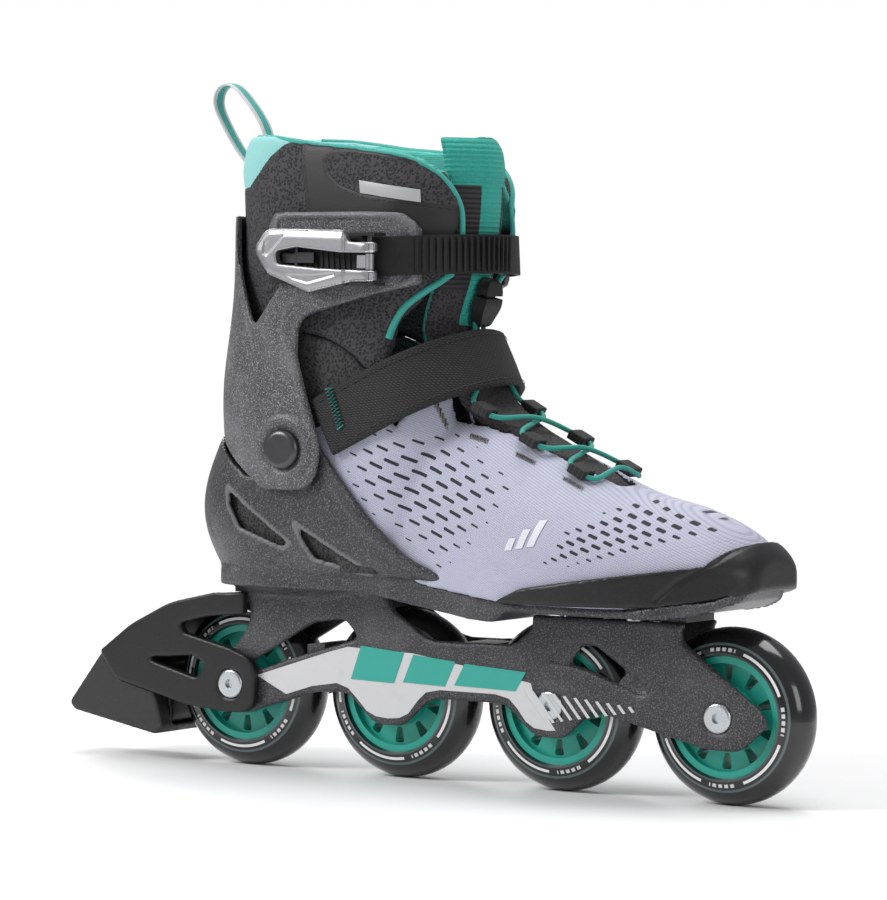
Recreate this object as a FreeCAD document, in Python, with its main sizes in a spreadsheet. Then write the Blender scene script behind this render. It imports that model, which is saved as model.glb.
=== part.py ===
import FreeCAD, Part
import math
import os
from FreeCAD import Placement, Rotation, Vector

# Inline skate for the right foot. X points to the toe, Y to the inner (medial) side, Z up.
# The origin is on the floor under the wheel line, midway between the second and third axles.

doc = FreeCAD.newDocument("inline_skate")

DIMENSIONS = {
    "wheel_diameter": 80, "wheel_width": 24, "crown_radius": 12, "wheelbase": 260,
    "hub_radius": 27.3, "hub_width": 20, "hub_rim": 3, "barrel_radius": 15, "web_width": 13,
    "bearing_outer": 22, "bearing_bore": 8, "bearing_width": 7, "spacer_length": 10.3,
    "ring_outer_bore": 18.4, "ring_inner_outside": 12.2, "shield_thickness": 0.4,
    "spacer_outer": 11, "axle_radius": 3.95, "axle_hole": 4.05,
    "rail_inside": 13, "rail_outside": 17, "boss_inside": 12.2, "boss_radius": 7.5,
    "bolt_head_radius": 7, "bolt_head_height": 2.1, "bolt_socket_radius": 2.3, "bolt_recess": 1.8,
    "recess_radius": 7.4, "nut_height": 2,
    "arm_outside": 22, "arm_inside": 17.05, "pad_half_width": 19.5, "core_half_width": 10,
    "pivot_x": -83.3, "pivot_z": 154, "split_radius": 53.5, "pivot_hole": 4.05, "pivot_shank": 4,
    "pivot_head_radius": 9.5, "cuff_half_width": 48, "cuff_wall": 3, "cup_wall": 3,
    "boot_wall": 5.5, "collar_wall": 6, "flap_edge": 23.5,
    "ladder_width": 18, "ladder_thickness": 1.9, "ladder_half_width": 48.9,
    "power_width": 29, "power_thickness": 2.5, "power_half_width": 41,
    "lever_pin_x": -31, "lever_pin_y": -56.2, "lever_pin_radius": 1.2,
    "pawl_pin_x": -73, "pawl_pin_y": -53.4, "pawl_pin_radius": 0.8, "buckle_rivet_z": 242,
    "lace_radius": 1.2, "loop_width": 9, "pull_width": 9,
    "frame_bolt_radius": 3, "frame_bolt_x": 86.7, "sole_screw_x": 92, "sole_screw_y": 25,
}

sizes = doc.addObject("Spreadsheet::Sheet", "sizes")
for row, (alias, value) in enumerate(DIMENSIONS.items(), start=1):
    sizes.set("A%d" % row, alias)
    sizes.set("B%d" % row, str(value))
    sizes.setAlias("B%d" % row, alias)
doc.recompute()


def size(alias):
    """The value of one driving dimension."""
    return float(getattr(sizes, alias))


AXLE_X = [size("wheelbase") * (k - 1.5) / 3 for k in range(4)]
AXLE_Z = size("wheel_diameter") / 2
PIVOT = Vector(size("pivot_x"), 0, size("pivot_z"))
exported = []
made = {}


# ---------------------------------------------------------------- outlines

def rounded(points):
    """Lines and tangent arcs of a closed outline; each point is (u, v) or (u, v, corner radius).

    A radius too large for its two runs is cut down to what fits.
    """
    corners = []
    for i, point in enumerate(points):
        here = Vector(point[0], point[1], 0)
        radius = point[2] if len(point) > 2 else 0
        before = Vector(*points[i - 1][:2], 0) - here
        after = Vector(*points[(i + 1) % len(points)][:2], 0) - here
        shorter = min(before.Length, after.Length)
        before.normalize()
        after.normalize()
        half = before.getAngle(after) / 2
        if radius <= 0 or half > math.radians(89.9):
            corners.append((here, None, here))
            continue
        reach = min(radius / math.tan(half), 0.49 * shorter)
        radius = reach * math.tan(half)
        middle = here + (before + after).normalize() * (radius / math.sin(half) - radius)
        corners.append((here + before * reach, middle, here + after * reach))
    pieces = []
    for i, (start, middle, end) in enumerate(corners):
        if middle is not None:
            pieces.append(Part.Arc(start, middle, end))
        following = corners[(i + 1) % len(corners)][0]
        if end.distanceToPoint(following) > 1e-6:
            pieces.append(Part.LineSegment(end, following))
    return pieces


def face_of(pieces):
    return Part.Face(Part.Wire([piece.toShape() for piece in pieces]))


def side_prism(points, left=80.0, right=-80.0):
    """Solid whose side view is the outline (x, z), from y = right to y = left."""
    face = face_of(rounded(points))
    face.rotate(Vector(0, 0, 0), Vector(1, 0, 0), 90)
    face.translate(Vector(0, left, 0))
    return face.extrude(Vector(0, right - left, 0))


def plan_prism(points, bottom, top):
    """Solid whose plan is the outline (x, y), from z = bottom to z = top."""
    face = face_of(rounded(points))
    face.translate(Vector(0, 0, bottom))
    return face.extrude(Vector(0, 0, top - bottom))


def mirrored_outline(points):
    """A plan outline that is symmetric about the X axis, from its points on the +Y side."""
    return [tuple(p) for p in points] + [(p[0], -p[1]) + tuple(p[2:]) for p in reversed(points)]


def pin(x, y0, y1, z, radius):
    """A round bar along Y."""
    return Part.makeCylinder(radius, abs(y1 - y0), Vector(x, min(y0, y1), z), Vector(0, 1, 0))


def post(x, y, z0, z1, radius):
    """A round bar along Z."""
    return Part.makeCylinder(radius, z1 - z0, Vector(x, y, z0))


def box(x0, x1, y0, y1, z0, z1):
    return Part.makeBox(x1 - x0, y1 - y0, z1 - z0, Vector(x0, y0, z0))


def ellipse_arc(centre, long_radius, wide_radius, z, front):
    """Half an ellipse in a level plane, its ends at y = +wide and -wide, bulging to the front or rear."""
    sign = 1 if front else -1
    big, small = Vector(sign, 0, 0), Vector(0, sign, 0)
    middle = Vector(centre, 0, z)
    if long_radius >= wide_radius:
        curve = Part.Ellipse(middle + big * long_radius, middle + small * wide_radius, middle)
        return Part.ArcOfEllipse(curve, -math.pi / 2, math.pi / 2).toShape()
    curve = Part.Ellipse(middle + small * wide_radius, middle - big * long_radius, middle)
    return Part.ArcOfEllipse(curve, math.pi, 2 * math.pi).toShape()


def ring_section(z, rear, front, half_width, rear_length=48.0, front_length=38.0):
    """Level section of the ankle: a rounded heel, straight sides and a rounded front."""
    rear_centre = rear + rear_length
    front_centre = front - front_length
    heel = ellipse_arc(rear_centre, rear_length, half_width, z, False)
    nose = ellipse_arc(front_centre, front_length, half_width, z, True)
    sides = [Part.makeLine(Vector(rear_centre, s * half_width, z), Vector(front_centre, s * half_width, z))
             for s in (1, -1)]
    return Part.Wire(Part.__sortEdges__([heel, sides[0], nose, sides[1]]))


def arch_section(x, centre, half_width, bottom, top, side=0.35):
    """Upright section of the forefoot: a flat base, upright sides and a half ellipse on top."""
    shoulder = bottom + (top - bottom) * side
    rise = top - shoulder
    low = [Vector(x, centre + s * half_width, bottom) for s in (-1, 1)]
    high = [Vector(x, centre + s * half_width, shoulder) for s in (-1, 1)]
    middle = Vector(x, centre, shoulder)
    if half_width >= rise:
        curve = Part.Ellipse(middle + Vector(0, half_width, 0), middle + Vector(0, 0, rise), middle)
        arc = Part.ArcOfEllipse(curve, 0, math.pi).toShape()
    else:
        curve = Part.Ellipse(middle + Vector(0, 0, rise), middle - Vector(0, half_width, 0), middle)
        arc = Part.ArcOfEllipse(curve, -math.pi / 2, math.pi / 2).toShape()
    edges = [Part.makeLine(low[0], low[1]), Part.makeLine(low[1], high[1]), arc, Part.makeLine(high[0],
                                                                                               low[0])]
    return Part.Wire(Part.__sortEdges__(edges))


def loft(sections):
    return Part.makeLoft(sections, True, False)


# ---------------------------------------------------------------- document objects

def keep(obj, label):
    """Name an object as a sub-part to be written."""
    obj.Label = label
    exported.append(obj)
    return obj


def fill(label, shape):
    """A sub-part whose shape is built from free-form faces or holds several solids."""
    feature = doc.addObject("Part::Feature", label)
    feature.Shape = shape
    made[label] = shape
    keep(feature, label)


def plane_of(body, role):
    return next(f for f in body.Origin.OriginFeatures if f.Role == role)


def sketch_on(body, name, role, outlines, offset=0.0):
    """A sketch on an origin plane of its body, moved along the plane's normal by the offset."""
    sketch = body.newObject("Sketcher::SketchObject", name)
    sketch.AttachmentSupport = [(plane_of(body, role), "")]
    sketch.MapMode = "FlatFace"
    sketch.AttachmentOffset = Placement(Vector(0, 0, offset), Rotation())
    for outline in outlines:
        for piece in outline:
            sketch.addGeometry(piece, False)
    return sketch


def circle(u, v, radius):
    return [Part.Circle(Vector(u, v, 0), Vector(0, 0, 1), radius)]


def pad(body, name, sketch, length, reverse=False):
    feature = body.newObject("PartDesign::Pad", name)
    feature.Profile = sketch
    feature.setExpression("Length", length)
    feature.Reversed = reverse
    return feature


def pocket(body, name, sketch, length, reverse=False):
    feature = body.newObject("PartDesign::Pocket", name)
    feature.Profile = sketch
    feature.setExpression("Length", length)
    feature.Reversed = reverse
    return feature


def new_body(label):
    return keep(doc.addObject("PartDesign::Body", label), label)


def cylinder(name, radius, length, placement):
    """A Part::Cylinder along Y whose radius and length are bound to the sheet."""
    item = doc.addObject("Part::Cylinder", name)
    item.setExpression("Radius", radius)
    item.setExpression("Height", length)
    item.Placement = Placement(placement, Rotation(Vector(1, 0, 0), -90))
    return item


def sleeve(name, outer, inner, length, place):
    """A tube along Y, cut from two bound cylinders."""
    cut = doc.addObject("Part::Cut", name)
    cut.Base = cylinder(name + "_outside", outer, length, place)
    cut.Tool = cylinder(name + "_bore", inner, length, place)
    return cut


# ---------------------------------------------------------------- wheels

def tyre(k):
    """Cast tyre: a full-round crown on a flat seat around the hub."""
    body = new_body("tyre_%d" % k)
    seat, half_seat = size("hub_radius"), size("hub_width") / 2
    half, crown = size("wheel_width") / 2, size("crown_radius")
    centre = size("wheel_diameter") / 2 - crown
    corner = [Vector(seat, -half_seat, 0), Vector(centre, -half, 0), Vector(centre + crown, 0, 0),
              Vector(centre, half, 0), Vector(seat, half_seat, 0)]
    outline = [Part.LineSegment(corner[0], corner[1]), Part.Arc(corner[1], corner[2], corner[3]),
               Part.LineSegment(corner[3], corner[4]), Part.LineSegment(corner[4], corner[0])]
    section = sketch_on(body, "tyre_section_%d" % k, "XY_Plane", [outline])
    turned = body.newObject("PartDesign::Revolution", "tyre_turned_%d" % k)
    turned.Profile = section
    turned.ReferenceAxis = (section, ["V_Axis"])
    turned.Angle = 360
    body.Placement = Placement(Vector(AXLE_X[k - 1], 0, AXLE_Z), Rotation())


def hub(k):
    """Moulded hub: rim, web with ten openings, barrel with two bearing seats and a shoulder between."""
    body = new_body("hub_%d" % k)
    rim_out, half_rim = size("hub_radius"), size("hub_width") / 2
    rim_in, barrel = rim_out - size("hub_rim"), size("barrel_radius")
    half_web = size("web_width") / 2
    seat, half_seat = size("bearing_outer") / 2, size("spacer_length") / 2 + size("bearing_width")
    lip, half_lip = seat - 1.5, size("spacer_length") / 2
    upper = [(rim_out, half_rim), (rim_in, half_rim), (rim_in, half_web), (barrel, half_web),
             (barrel, half_seat), (seat, half_seat), (seat, half_lip), (lip, half_lip)]
    outline = rounded(upper + [(u, -v) for u, v in reversed(upper)])
    section = sketch_on(body, "hub_section_%d" % k, "XY_Plane", [outline])
    turned = body.newObject("PartDesign::Revolution", "hub_turned_%d" % k)
    turned.Profile = section
    turned.ReferenceAxis = (section, ["V_Axis"])
    turned.Angle = 360
    doc.recompute()
    gap = [(-2.6, rim_in - 0.9, 1.2), (2.6, rim_in - 0.9, 1.2), (1.3, barrel + 0.9, 0.9),
           (-1.3, barrel + 0.9, 0.9)]
    opening = sketch_on(body, "hub_opening_%d" % k, "XZ_Plane", [rounded(gap)], -size("web_width"))
    window = pocket(body, "hub_window_%d" % k, opening, "sizes.web_width * 2", True)
    pattern = body.newObject("PartDesign::PolarPattern", "hub_windows_%d" % k)
    pattern.Originals = [window]
    pattern.Axis = (plane_of(body, "Y_Axis"), [""])
    pattern.Angle = 360
    pattern.Occurrences = 10
    body.Tip = pattern
    body.Placement = Placement(Vector(AXLE_X[k - 1], 0, AXLE_Z), Rotation())


def fused(label, members):
    """Several pieces in one node, each still its own solid."""
    group = doc.addObject("Part::Compound", label)
    group.Links = members
    return keep(group, label)


def bearings(k):
    """Two ball bearings: the outer rings with shields turn with the hub, the inner rings stay."""
    x, half = AXLE_X[k - 1], size("spacer_length") / 2
    width, shield = size("bearing_width"), size("shield_thickness")
    outer, inner = [], []
    for side, start in (("left", half), ("right", -half - width)):
        place = Vector(x, start, AXLE_Z)
        name = "%s_%d" % (side, k)
        outer.append(sleeve("outer_ring_" + name, "sizes.bearing_outer / 2", "sizes.ring_outer_bore / 2",
                            "sizes.bearing_width", place))
        inner.append(sleeve("inner_ring_" + name, "sizes.ring_inner_outside / 2", "sizes.bearing_bore / 2",
                            "sizes.bearing_width", place))
        for end, shift in (("near", 0.2), ("far", width - 0.2 - shield)):
            outer.append(sleeve("shield_%s_%s" % (end, name), "sizes.ring_outer_bore / 2",
                                "sizes.ring_inner_outside / 2 + 0.3", "sizes.shield_thickness",
                                Vector(x, start + shift, AXLE_Z)))
    fused("bearing_outer_%d" % k, outer)
    fused("bearing_inner_%d" % k, inner)
    spacer = sleeve("spacer_%d" % k, "sizes.spacer_outer / 2", "sizes.bearing_bore / 2",
                    "sizes.spacer_length", Vector(x, -half, AXLE_Z))
    keep(spacer, "spacer_%d" % k)


def axles():
    """Bolts from the outer side with a hexagon socket in the head, and low nuts on the inner side."""
    bolts, nuts = [], []
    radius, head = size("axle_radius"), size("bolt_head_radius")
    for k, x in enumerate(AXLE_X):
        outside = size("arm_outside") if k == 0 else size("rail_outside")
        seat = -(outside - size("bolt_recess"))
        top = seat - size("bolt_head_height")
        bolt = pin(x, seat, outside, AXLE_Z, radius).fuse(pin(x, seat, top, AXLE_Z, head))
        rim = [e
               for e in bolt.Edges if abs(e.BoundBox.YMin - top) < 1e-6 and abs(e.BoundBox.YMax - top) < 1e-6]
        bolt = bolt.makeFillet(1.4, rim)
        bolts.append(bolt.cut(pin(x, top - 1, top + 1.6, AXLE_Z, size("bolt_socket_radius"))))
        nut = pin(x, outside, outside + size("nut_height"), AXLE_Z, head)
        nuts.append(nut)
    fill("axle_bolts", Part.makeCompound(bolts))
    fill("axle_nuts", Part.makeCompound(nuts))


# ---------------------------------------------------------------- frame

def bump(x):
    """Four corners of the frame's lower edge where it dips around an axle."""
    low, high = 25.4, 39.4
    return [(x - 23.5, high, 11), (x - 7.5, low, 8), (x + 7.5, low, 8), (x + 23, high, 11)]


def rail_outline():
    lower = [(-145, 30, 12), (-126, 25.6, 12), (-84, 38.6, 25)] + bump(AXLE_X[1]) + bump(AXLE_X[2])
    front = [(124, 25.6, 20), (141, 25.4, 12), (156, 38.6, 5), (150.5, 45, 3), (110, 74.5, 5),
             (112.5, 81.4, 0)]
    arch = [(33.5, 81.4, 0), (33.5, 75.6, 2), (24, 67, 8), (-22, 66.4, 18), (-40.5, 78.6, 6), (-47.5, 88, 0)]
    rear = [(-134, 88, 0), (-122, 79, 10), (-123.4, 67.5, 12), (-130, 59, 6), (-145, 50, 9)]
    return rounded(lower + front + arch + rear)


REAR_WINDOW = [(-122, 50.2, 1.5), (-86, 71.5, 12), (-68.5, 73.6, 5), (-60.6, 65.2, 1.5), (-100, 53.4, 30),
               (-116.5, 47.2, 2)]
FRONT_WINDOW = [(53, 60.2, 2), (60, 68.4, 4), (67, 68.6, 4), (83, 58, 2), (78, 52.6, 2), (64, 58, 5)]
FRONT_RECESS = [(42.5, 60.6, 1.5), (52, 68.4, 6), (66, 69.6, 6), (97.8, 50, 1.5), (91, 47.4, 2),
                (62, 58.2, 12), (46, 59.6, 1)]


def rail(label, medial):
    """One side wall of the frame, with its windows, axle holes and the bosses that carry the bearings."""
    body = new_body(label)
    inside, outside, boss = size("rail_inside"), size("rail_outside"), size("boss_inside")
    holes = [circle(x, AXLE_Z, size("axle_hole")) for x in AXLE_X]
    start = -outside if medial else inside
    wall = sketch_on(body, label + "_wall", "XZ_Plane",
                     [rail_outline(), rounded(REAR_WINDOW), rounded(FRONT_WINDOW)] + holes, start)
    pad(body, label + "_pad", wall, "sizes.rail_outside - sizes.rail_inside")
    discs = [circle(x, AXLE_Z, size("boss_radius")) for x in AXLE_X]
    bosses = sketch_on(body, label + "_bosses", "XZ_Plane", discs + holes, -inside if medial else boss)
    pad(body, label + "_boss_pad", bosses, "sizes.rail_inside - sizes.boss_inside")
    doc.recompute()
    depth = -outside if medial else outside
    relief = sketch_on(body, label + "_relief", "XZ_Plane", [rounded(FRONT_RECESS)], depth)
    pocket(body, label + "_relief_cut", relief, "2", medial)
    if not medial:
        seats = [circle(x, AXLE_Z, size("recess_radius")) for x in AXLE_X[1:]]
        seat = sketch_on(body, label + "_seats", "XZ_Plane", seats, depth)
        pocket(body, label + "_seat_cut", seat, "sizes.bolt_recess")


def bridges():
    """Cross members between the rails: two decks under the boot and three bridges between the wheels."""
    inside = size("rail_inside")
    reach, bolt, far = inside - 0.02, size("frame_bolt_x"), size("frame_bolt_radius") + 0.05
    rear_deck = box(-133.5, -48, -reach, reach, 83.5, 88).cut(post(-bolt, 0, 80, 90, far))
    front_deck = box(34, 112, -reach, reach, 81.4, 84.4).cut(post(bolt, 0, 80, 90, far))
    middle = box(-8, 8, -reach, reach, 60.4, 65.8)
    rear_low = box(-91.5, -81.9, -reach, reach, 56.5, 61.5).common(side_prism(
        [(-98, 50), (-81.9, 57.2), (-81.9, 62), (-91.5, 60.5), (-98, 58)]))
    fill("frame_bridges", Part.makeCompound([rear_deck, front_deck, rear_low, middle]))


def sole_plate():
    """The base under the boot: raised at the heel, dropping to the ball and curling up at the toe."""
    profile = [(-138.5, 88.05, 2), (-47, 88.05, 10), (-18, 83.3, 60), (10, 79.2, 30), (25, 78.4, 6),
               (33.8, 84.45, 0.5), (112, 84.45, 4), (128, 87.2, 20), (142.5, 92.6, 4), (146.5, 99, 2),
               (141, 96.5, 4), (133, 92.2, 10), (100, 88.2, 40), (40, 87.9, 40), (2, 91.4, 60),
               (-30, 95.9, 30), (-141, 95.9, 2)]
    plan = [(-141, 14, 12), (-128, 33, 18), (-96, 35, 30), (-40, 33.5, 60), (0, 34, 60), (40, 41, 60),
            (75, 45, 50), (110, 42, 40), (134, 31, 20), (147, 13, 10)]
    plate = side_prism(profile).common(plan_prism(mirrored_outline(plan), 70, 110))
    bolt, radius = size("frame_bolt_x"), size("frame_bolt_radius") + 0.05
    screw_x, screw_y = size("sole_screw_x"), size("sole_screw_y")
    holes = [post(-bolt, 0, 80, 93, radius), post(bolt, 0, 80, 87, radius)]
    holes += [post(screw_x, s * screw_y, 80, 87.2, 2.05) for s in (1, -1)]
    fill("sole_plate", plate.cut(holes))


def fasteners():
    bolt, radius = size("frame_bolt_x"), size("frame_bolt_radius")
    frame_bolts = []
    for x, seat, top in ((-bolt, 83.45, 92.9), (bolt, 81.35, 86.9)):
        frame_bolts.append(post(x, 0, seat, top, radius).fuse(post(x, 0, seat - 2.6, seat, 4.8)))
    fill("frame_bolts", Part.makeCompound(frame_bolts))
    screw_x, screw_y = size("sole_screw_x"), size("sole_screw_y")
    screws = [post(screw_x, s * screw_y, 84.4, 87.1, 2).fuse(post(screw_x, s * screw_y, 82.2, 84.4, 3.6))
              for s in (1, -1)]
    fill("sole_screws", Part.makeCompound(screws))


CUP = [(96, -144, 36), (108, -149.5, 40), (122, -152.4, 42.4), (135, -151, 43), (150, -145.5, 43.2),
       (168, -138, 43.2)]


def heel_cup():
    """The shell around the heel, with two vents a side and an ear on each side for the cuff pivot."""
    wall = size("cup_wall")
    outer = loft([ring_section(z, rear, 40, w) for z, rear, w in CUP])
    inner = loft([ring_section(z, rear + wall, 40, w - wall, 48 - wall, 38 - wall) for z, rear, w in CUP])
    profile = [(-160, 96.02), (-160, 160), (-140, 159.8, 3), (-101, 137, 5), (-99.5, 161, 8),
               (-84, 169, 12), (-68.5, 158, 9), (-57, 143, 20), (-40, 123.5, 30), (-21.5, 106.7, 40),
               (-3, 97.6, 15), (8, 96.02)]
    shell = outer.cut(inner).common(side_prism(profile))
    vents = [[(-119, 134.5, 2), (-118.5, 127, 3), (-112.5, 116.4, 3), (-88.4, 108, 2), (-84.8, 110.2, 1)],
             [(-79.9, 118.8, 1), (-76.6, 111.6, 2), (-71.5, 103.4, 2), (-42, 97.6, 0.6)]]
    for vent in vents:
        shell = shell.cut(side_prism(vent))
    fill("heel_cup", shell.cut(pin(PIVOT.x, -60, 60, PIVOT.z, size("pivot_hole"))))


def pivot_rivets():
    """Domed rivets: each passes the cuff arm and the cup ear and has a flange inside."""
    rivets = []
    for s in (1, -1):
        shank = pin(PIVOT.x, s * 38.9, s * 48.2, PIVOT.z, size("pivot_shank"))
        flange = pin(PIVOT.x, s * 39.8, s * 40.1, PIVOT.z, 7)
        head = pin(PIVOT.x, s * 48.2, s * 51.6, PIVOT.z, size("pivot_head_radius"))
        rim = [e for e in head.Edges if min(abs(e.BoundBox.YMin), abs(e.BoundBox.YMax)) > 51.5]
        rivets.append(shank.fuse([head.makeFillet(3, rim), flange]))
    fill("pivot_rivets", Part.makeCompound(rivets))


# ---------------------------------------------------------------- brake

ARM = [(-122.8, 84, 0), (-140, 83.2, 30), (-166, 77.2, 50), (-189, 65.5, 50), (-207.5, 51.5, 1.5),
       (-198, 38.5, 3), (-176, 33.3, 30), (-155, 28.2, 30), (-132, 26.4, 10), (-116.2, 27, 12),
       (-116.2, 52, 10), (-131, 57.2, 6), (-157.5, 63, 2), (-160, 67.4, 1), (-143, 71.6, 30),
       (-122.8, 73.6, 0)]
ARM_WINDOW = [(-179.5, 50, 1), (-152, 52.3, 5), (-144.6, 48.4, 2.5), (-149.5, 41.6, 3), (-175, 48, 1)]


def brake_arm():
    """A fork over both rails with a fender behind the wheel, and the core that backs the rubber pad."""
    outside, inside = size("arm_outside"), size("arm_inside")
    arm = side_prism(ARM, outside, -outside).cut(side_prism(ARM_WINDOW))
    arm = arm.cut(box(-147.5, -100, -inside, inside, 0, 120)).cut(pin(AXLE_X[0], -inside, inside, AXLE_Z,
                                                                      43.5))
    arm = arm.cut(pin(AXLE_X[0], -60, 60, AXLE_Z, size("axle_hole")))
    seat = outside - size("bolt_recess")
    arm = arm.cut(pin(AXLE_X[0], -seat, -outside - 1, AXLE_Z, size("recess_radius")))
    core = side_prism([(-190, 34), (-190, 24), (-184.5, 17, 2), (-171.5, 17, 4), (-174, 34)],
                      size("core_half_width"), -size("core_half_width"))
    arm = arm.fuse(core.cut(pin(AXLE_X[0], -20, 20, AXLE_Z, 43.5))).removeSplitter()
    arm = arm.cut(post(-200, 0, 20, 49, 2.55))
    fill("brake_arm", arm)


def brake_pad():
    half, core = size("pad_half_width"), size("core_half_width") + 0.05
    outline = [(-207.6, 51.2, 1), (-227.3, 25, 3), (-224, 21.6, 2), (-175.5, 12.6, 2), (-171, 16, 1),
               (-176.2, 33.2, 1), (-198.2, 38.4, 2.9)]
    pad_solid = side_prism(outline, half, -half)
    pad_solid = pad_solid.cut(side_prism([(-190.1, 36), (-190.1, 23.9), (-184.5, 16.9), (-160, 16.9),
                                          (-160, 36)], core, -core))
    pad_solid = pad_solid.cut(side_prism(ARM, half + 1, -half - 1))
    pad_solid = pad_solid.cut(post(-200, 0, 10, 60, 2.55)).cut(post(-200, 0, 10, 26, 5.2))
    fill("brake_pad", pad_solid)
    fill("brake_bolt", post(-200, 0, 22.6, 48.8, 2.5).fuse(post(-200, 0, 22.6, 25.9, 4.9)))


# ---------------------------------------------------------------- boot

ANKLE = [(96, -140.5, -10, 32.5), (108, -146, -5, 36.6), (122, -149, 0, 39), (135, -147, 0, 39.6),
         (148, -141, 0, 39.7), (160, -135.7, -1, 39.5), (172, -134.8, -3, 39.1), (190, -134, -8, 38.6),
         (215, -131.6, -10, 39.4), (240, -130.4, -1, 42), (258, -130.1, 3, 43), (275, -131, 4, 42.8),
         (290, -130.4, 2, 41.5), (302, -126, -5, 38.5)]
FOOT = [(-60, 0, 37, 96, 186), (-30, 0, 36.5, 95.6, 181), (0, 0, 37.5, 91.6, 175),
        (20, -1, 41, 89.4, 168.5), (40, -1.5, 44.5, 88, 159), (60, -1.5, 46.5, 88, 149.5),
        (80, -0.5, 46.5, 88.1, 140.5), (100, 1.5, 44, 88.3, 135), (120, 3.5, 38, 90.2, 128.5),
        (134, 5, 30, 93, 120.5), (141, 5.5, 22, 95.5, 113.5), (144.8, 6, 13, 98, 107.5)]


def ankle(inset, low, high):
    rows = [row for row in ANKLE if low <= row[0] <= high]
    return loft([ring_section(z, rear + inset, front - inset, w - inset, 48 - inset, 38 - inset)
                 for z, rear, front, w in rows])


def foot(grow, floor=0.0):
    rows = FOOT if grow >= 0 else FOOT[:-1]
    return loft([arch_section(x + (grow if x > 140 else 0), c, w + grow, b - min(grow, 0) * 0.55 - floor,
                              top + grow) for x, c, w, b, top in rows])


def throat(inset):
    """Plan of the opening over the instep that the tongue fills."""
    return mirrored_outline([(-48, 18 - inset), (0, 18 - inset, 30), (50, 14 - inset, 20),
                             (76 - inset, 9 - inset, 3)])


def below_split():
    """Side view of what stays with the chassis: a disc about the cuff pivot and all below a bent line."""
    rise = math.tan(math.radians(9))
    gusset = -30
    line = [(-200, PIVOT.z), (PIVOT.x, PIVOT.z), (gusset, PIVOT.z + (gusset - PIVOT.x) * rise), (-22, 180)]
    low = side_prism([(-200, 60), (220, 60), (220, 194), (4, 190)] + line[::-1])
    return low.fuse(pin(PIVOT.x, -80, 80, PIVOT.z, size("split_radius")))


def boot_upper():
    """Soft upper: one hollow shell from the heel to the toe, open over the instep and at the ankle."""
    wall = size("boot_wall")
    shell = ankle(0, 96, 240).fuse(foot(0)).common(below_split())
    shell = shell.cut(ankle(wall, 96, 258).cut(box(-160, 60, -60, 60, 80, 99.2)))
    shell = shell.cut(foot(-wall).cut(box(-160, -20, -60, 60, 80, 99.2)))
    shell = shell.cut(plan_prism(throat(0), 108, 260))
    shell = shell.cut([made["heel_cup"], made["sole_plate"], pin(PIVOT.x, -60, 60, PIVOT.z, 7.2)])
    fill("boot_upper", max(shell.Solids, key=lambda item: item.Volume))


def footbed():
    """Insole that follows the floor of the upper."""
    profile = [(-128, 99.3), (-30, 99.3, 60), (2, 95, 60), (40, 91.4, 40), (100, 91.8, 40), (126, 94.6),
               (124, 97.6), (100, 94.8, 40), (40, 94.4, 40), (2, 98, 60), (-30, 102.3, 60), (-128, 102.3)]
    plan = [(-128, 14, 10), (-112, 25, 14), (-90, 26.5, 30), (0, 29, 60), (50, 37, 40), (80, 38.5, 40),
            (105, 33, 30), (126, 15, 12)]
    insole = side_prism(profile).common(plan_prism(mirrored_outline(plan), 80, 120)).cut(made["boot_upper"])
    fill("footbed", max(insole.Solids, key=lambda item: item.Volume))


def toe_cap():
    """Hard bumper around the toe: thin at its rear ends, with a hump over the tip."""
    band = foot(3.0).cut(foot(0.1)).common(side_prism([(30, 88.2, 0), (46, 95.6, 20), (72, 100, 60),
                                                       (106, 105, 60), (129, 108.4, 4), (136, 115.5, 4),
                                                       (141, 118, 3), (160, 118, 0), (160, 92),
                                                       (133, 92.6, 8), (110, 89.3, 20), (60, 88.3, 20)]))
    band = band.cut([made["sole_plate"], made["boot_upper"]])
    front = max(band.Solids, key=lambda item: item.Volume)
    fill("toe_cap", front)


def crescent(z, front, long_radius, wide_radius, thickness, half_angle=48.0):
    """Level section of the tongue: a band of an ellipse, symmetric about the X axis."""
    centre = front - long_radius
    angles = [math.radians(a) for a in (-half_angle, 0, half_angle)]
    edge = [[Vector(centre + (long_radius - t) * math.cos(a), (wide_radius - t) * math.sin(a), z)
             for a in angles] for t in (0, thickness)]
    outer, inner = edge
    return Part.Wire([Part.Arc(*outer).toShape(), Part.makeLine(outer[2], inner[2]),
                      Part.Arc(*reversed(inner)).toShape(), Part.makeLine(inner[0], outer[0])])


def tongue():
    """Padded tongue: a strip that fills the throat, then a curved upright pad in front of the shin."""
    strip = [(74, 138.5), (60, 147, 30), (20, 166.4, 30), (5, 177, 20), (-3, 190), (-11.5, 190),
             (-6, 176, 12), (16, 159, 30), (58, 139.5, 30), (71, 132.2)]
    lower = side_prism(strip).common(plan_prism(throat(0.5), 100, 200))
    rows = [(188, -1.2, 6), (200, -8, 6), (211, -11, 7), (225, -7.5, 8), (240, -3.4, 8), (258, -0.4, 8),
            (278, 0.6, 8), (294, -1.5, 7), (299, -3.5, 4.5)]
    upper = loft([crescent(z, front, 34, 30.5, thick) for z, front, thick in rows])
    fill("tongue", lower.fuse(upper).removeSplitter())


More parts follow.
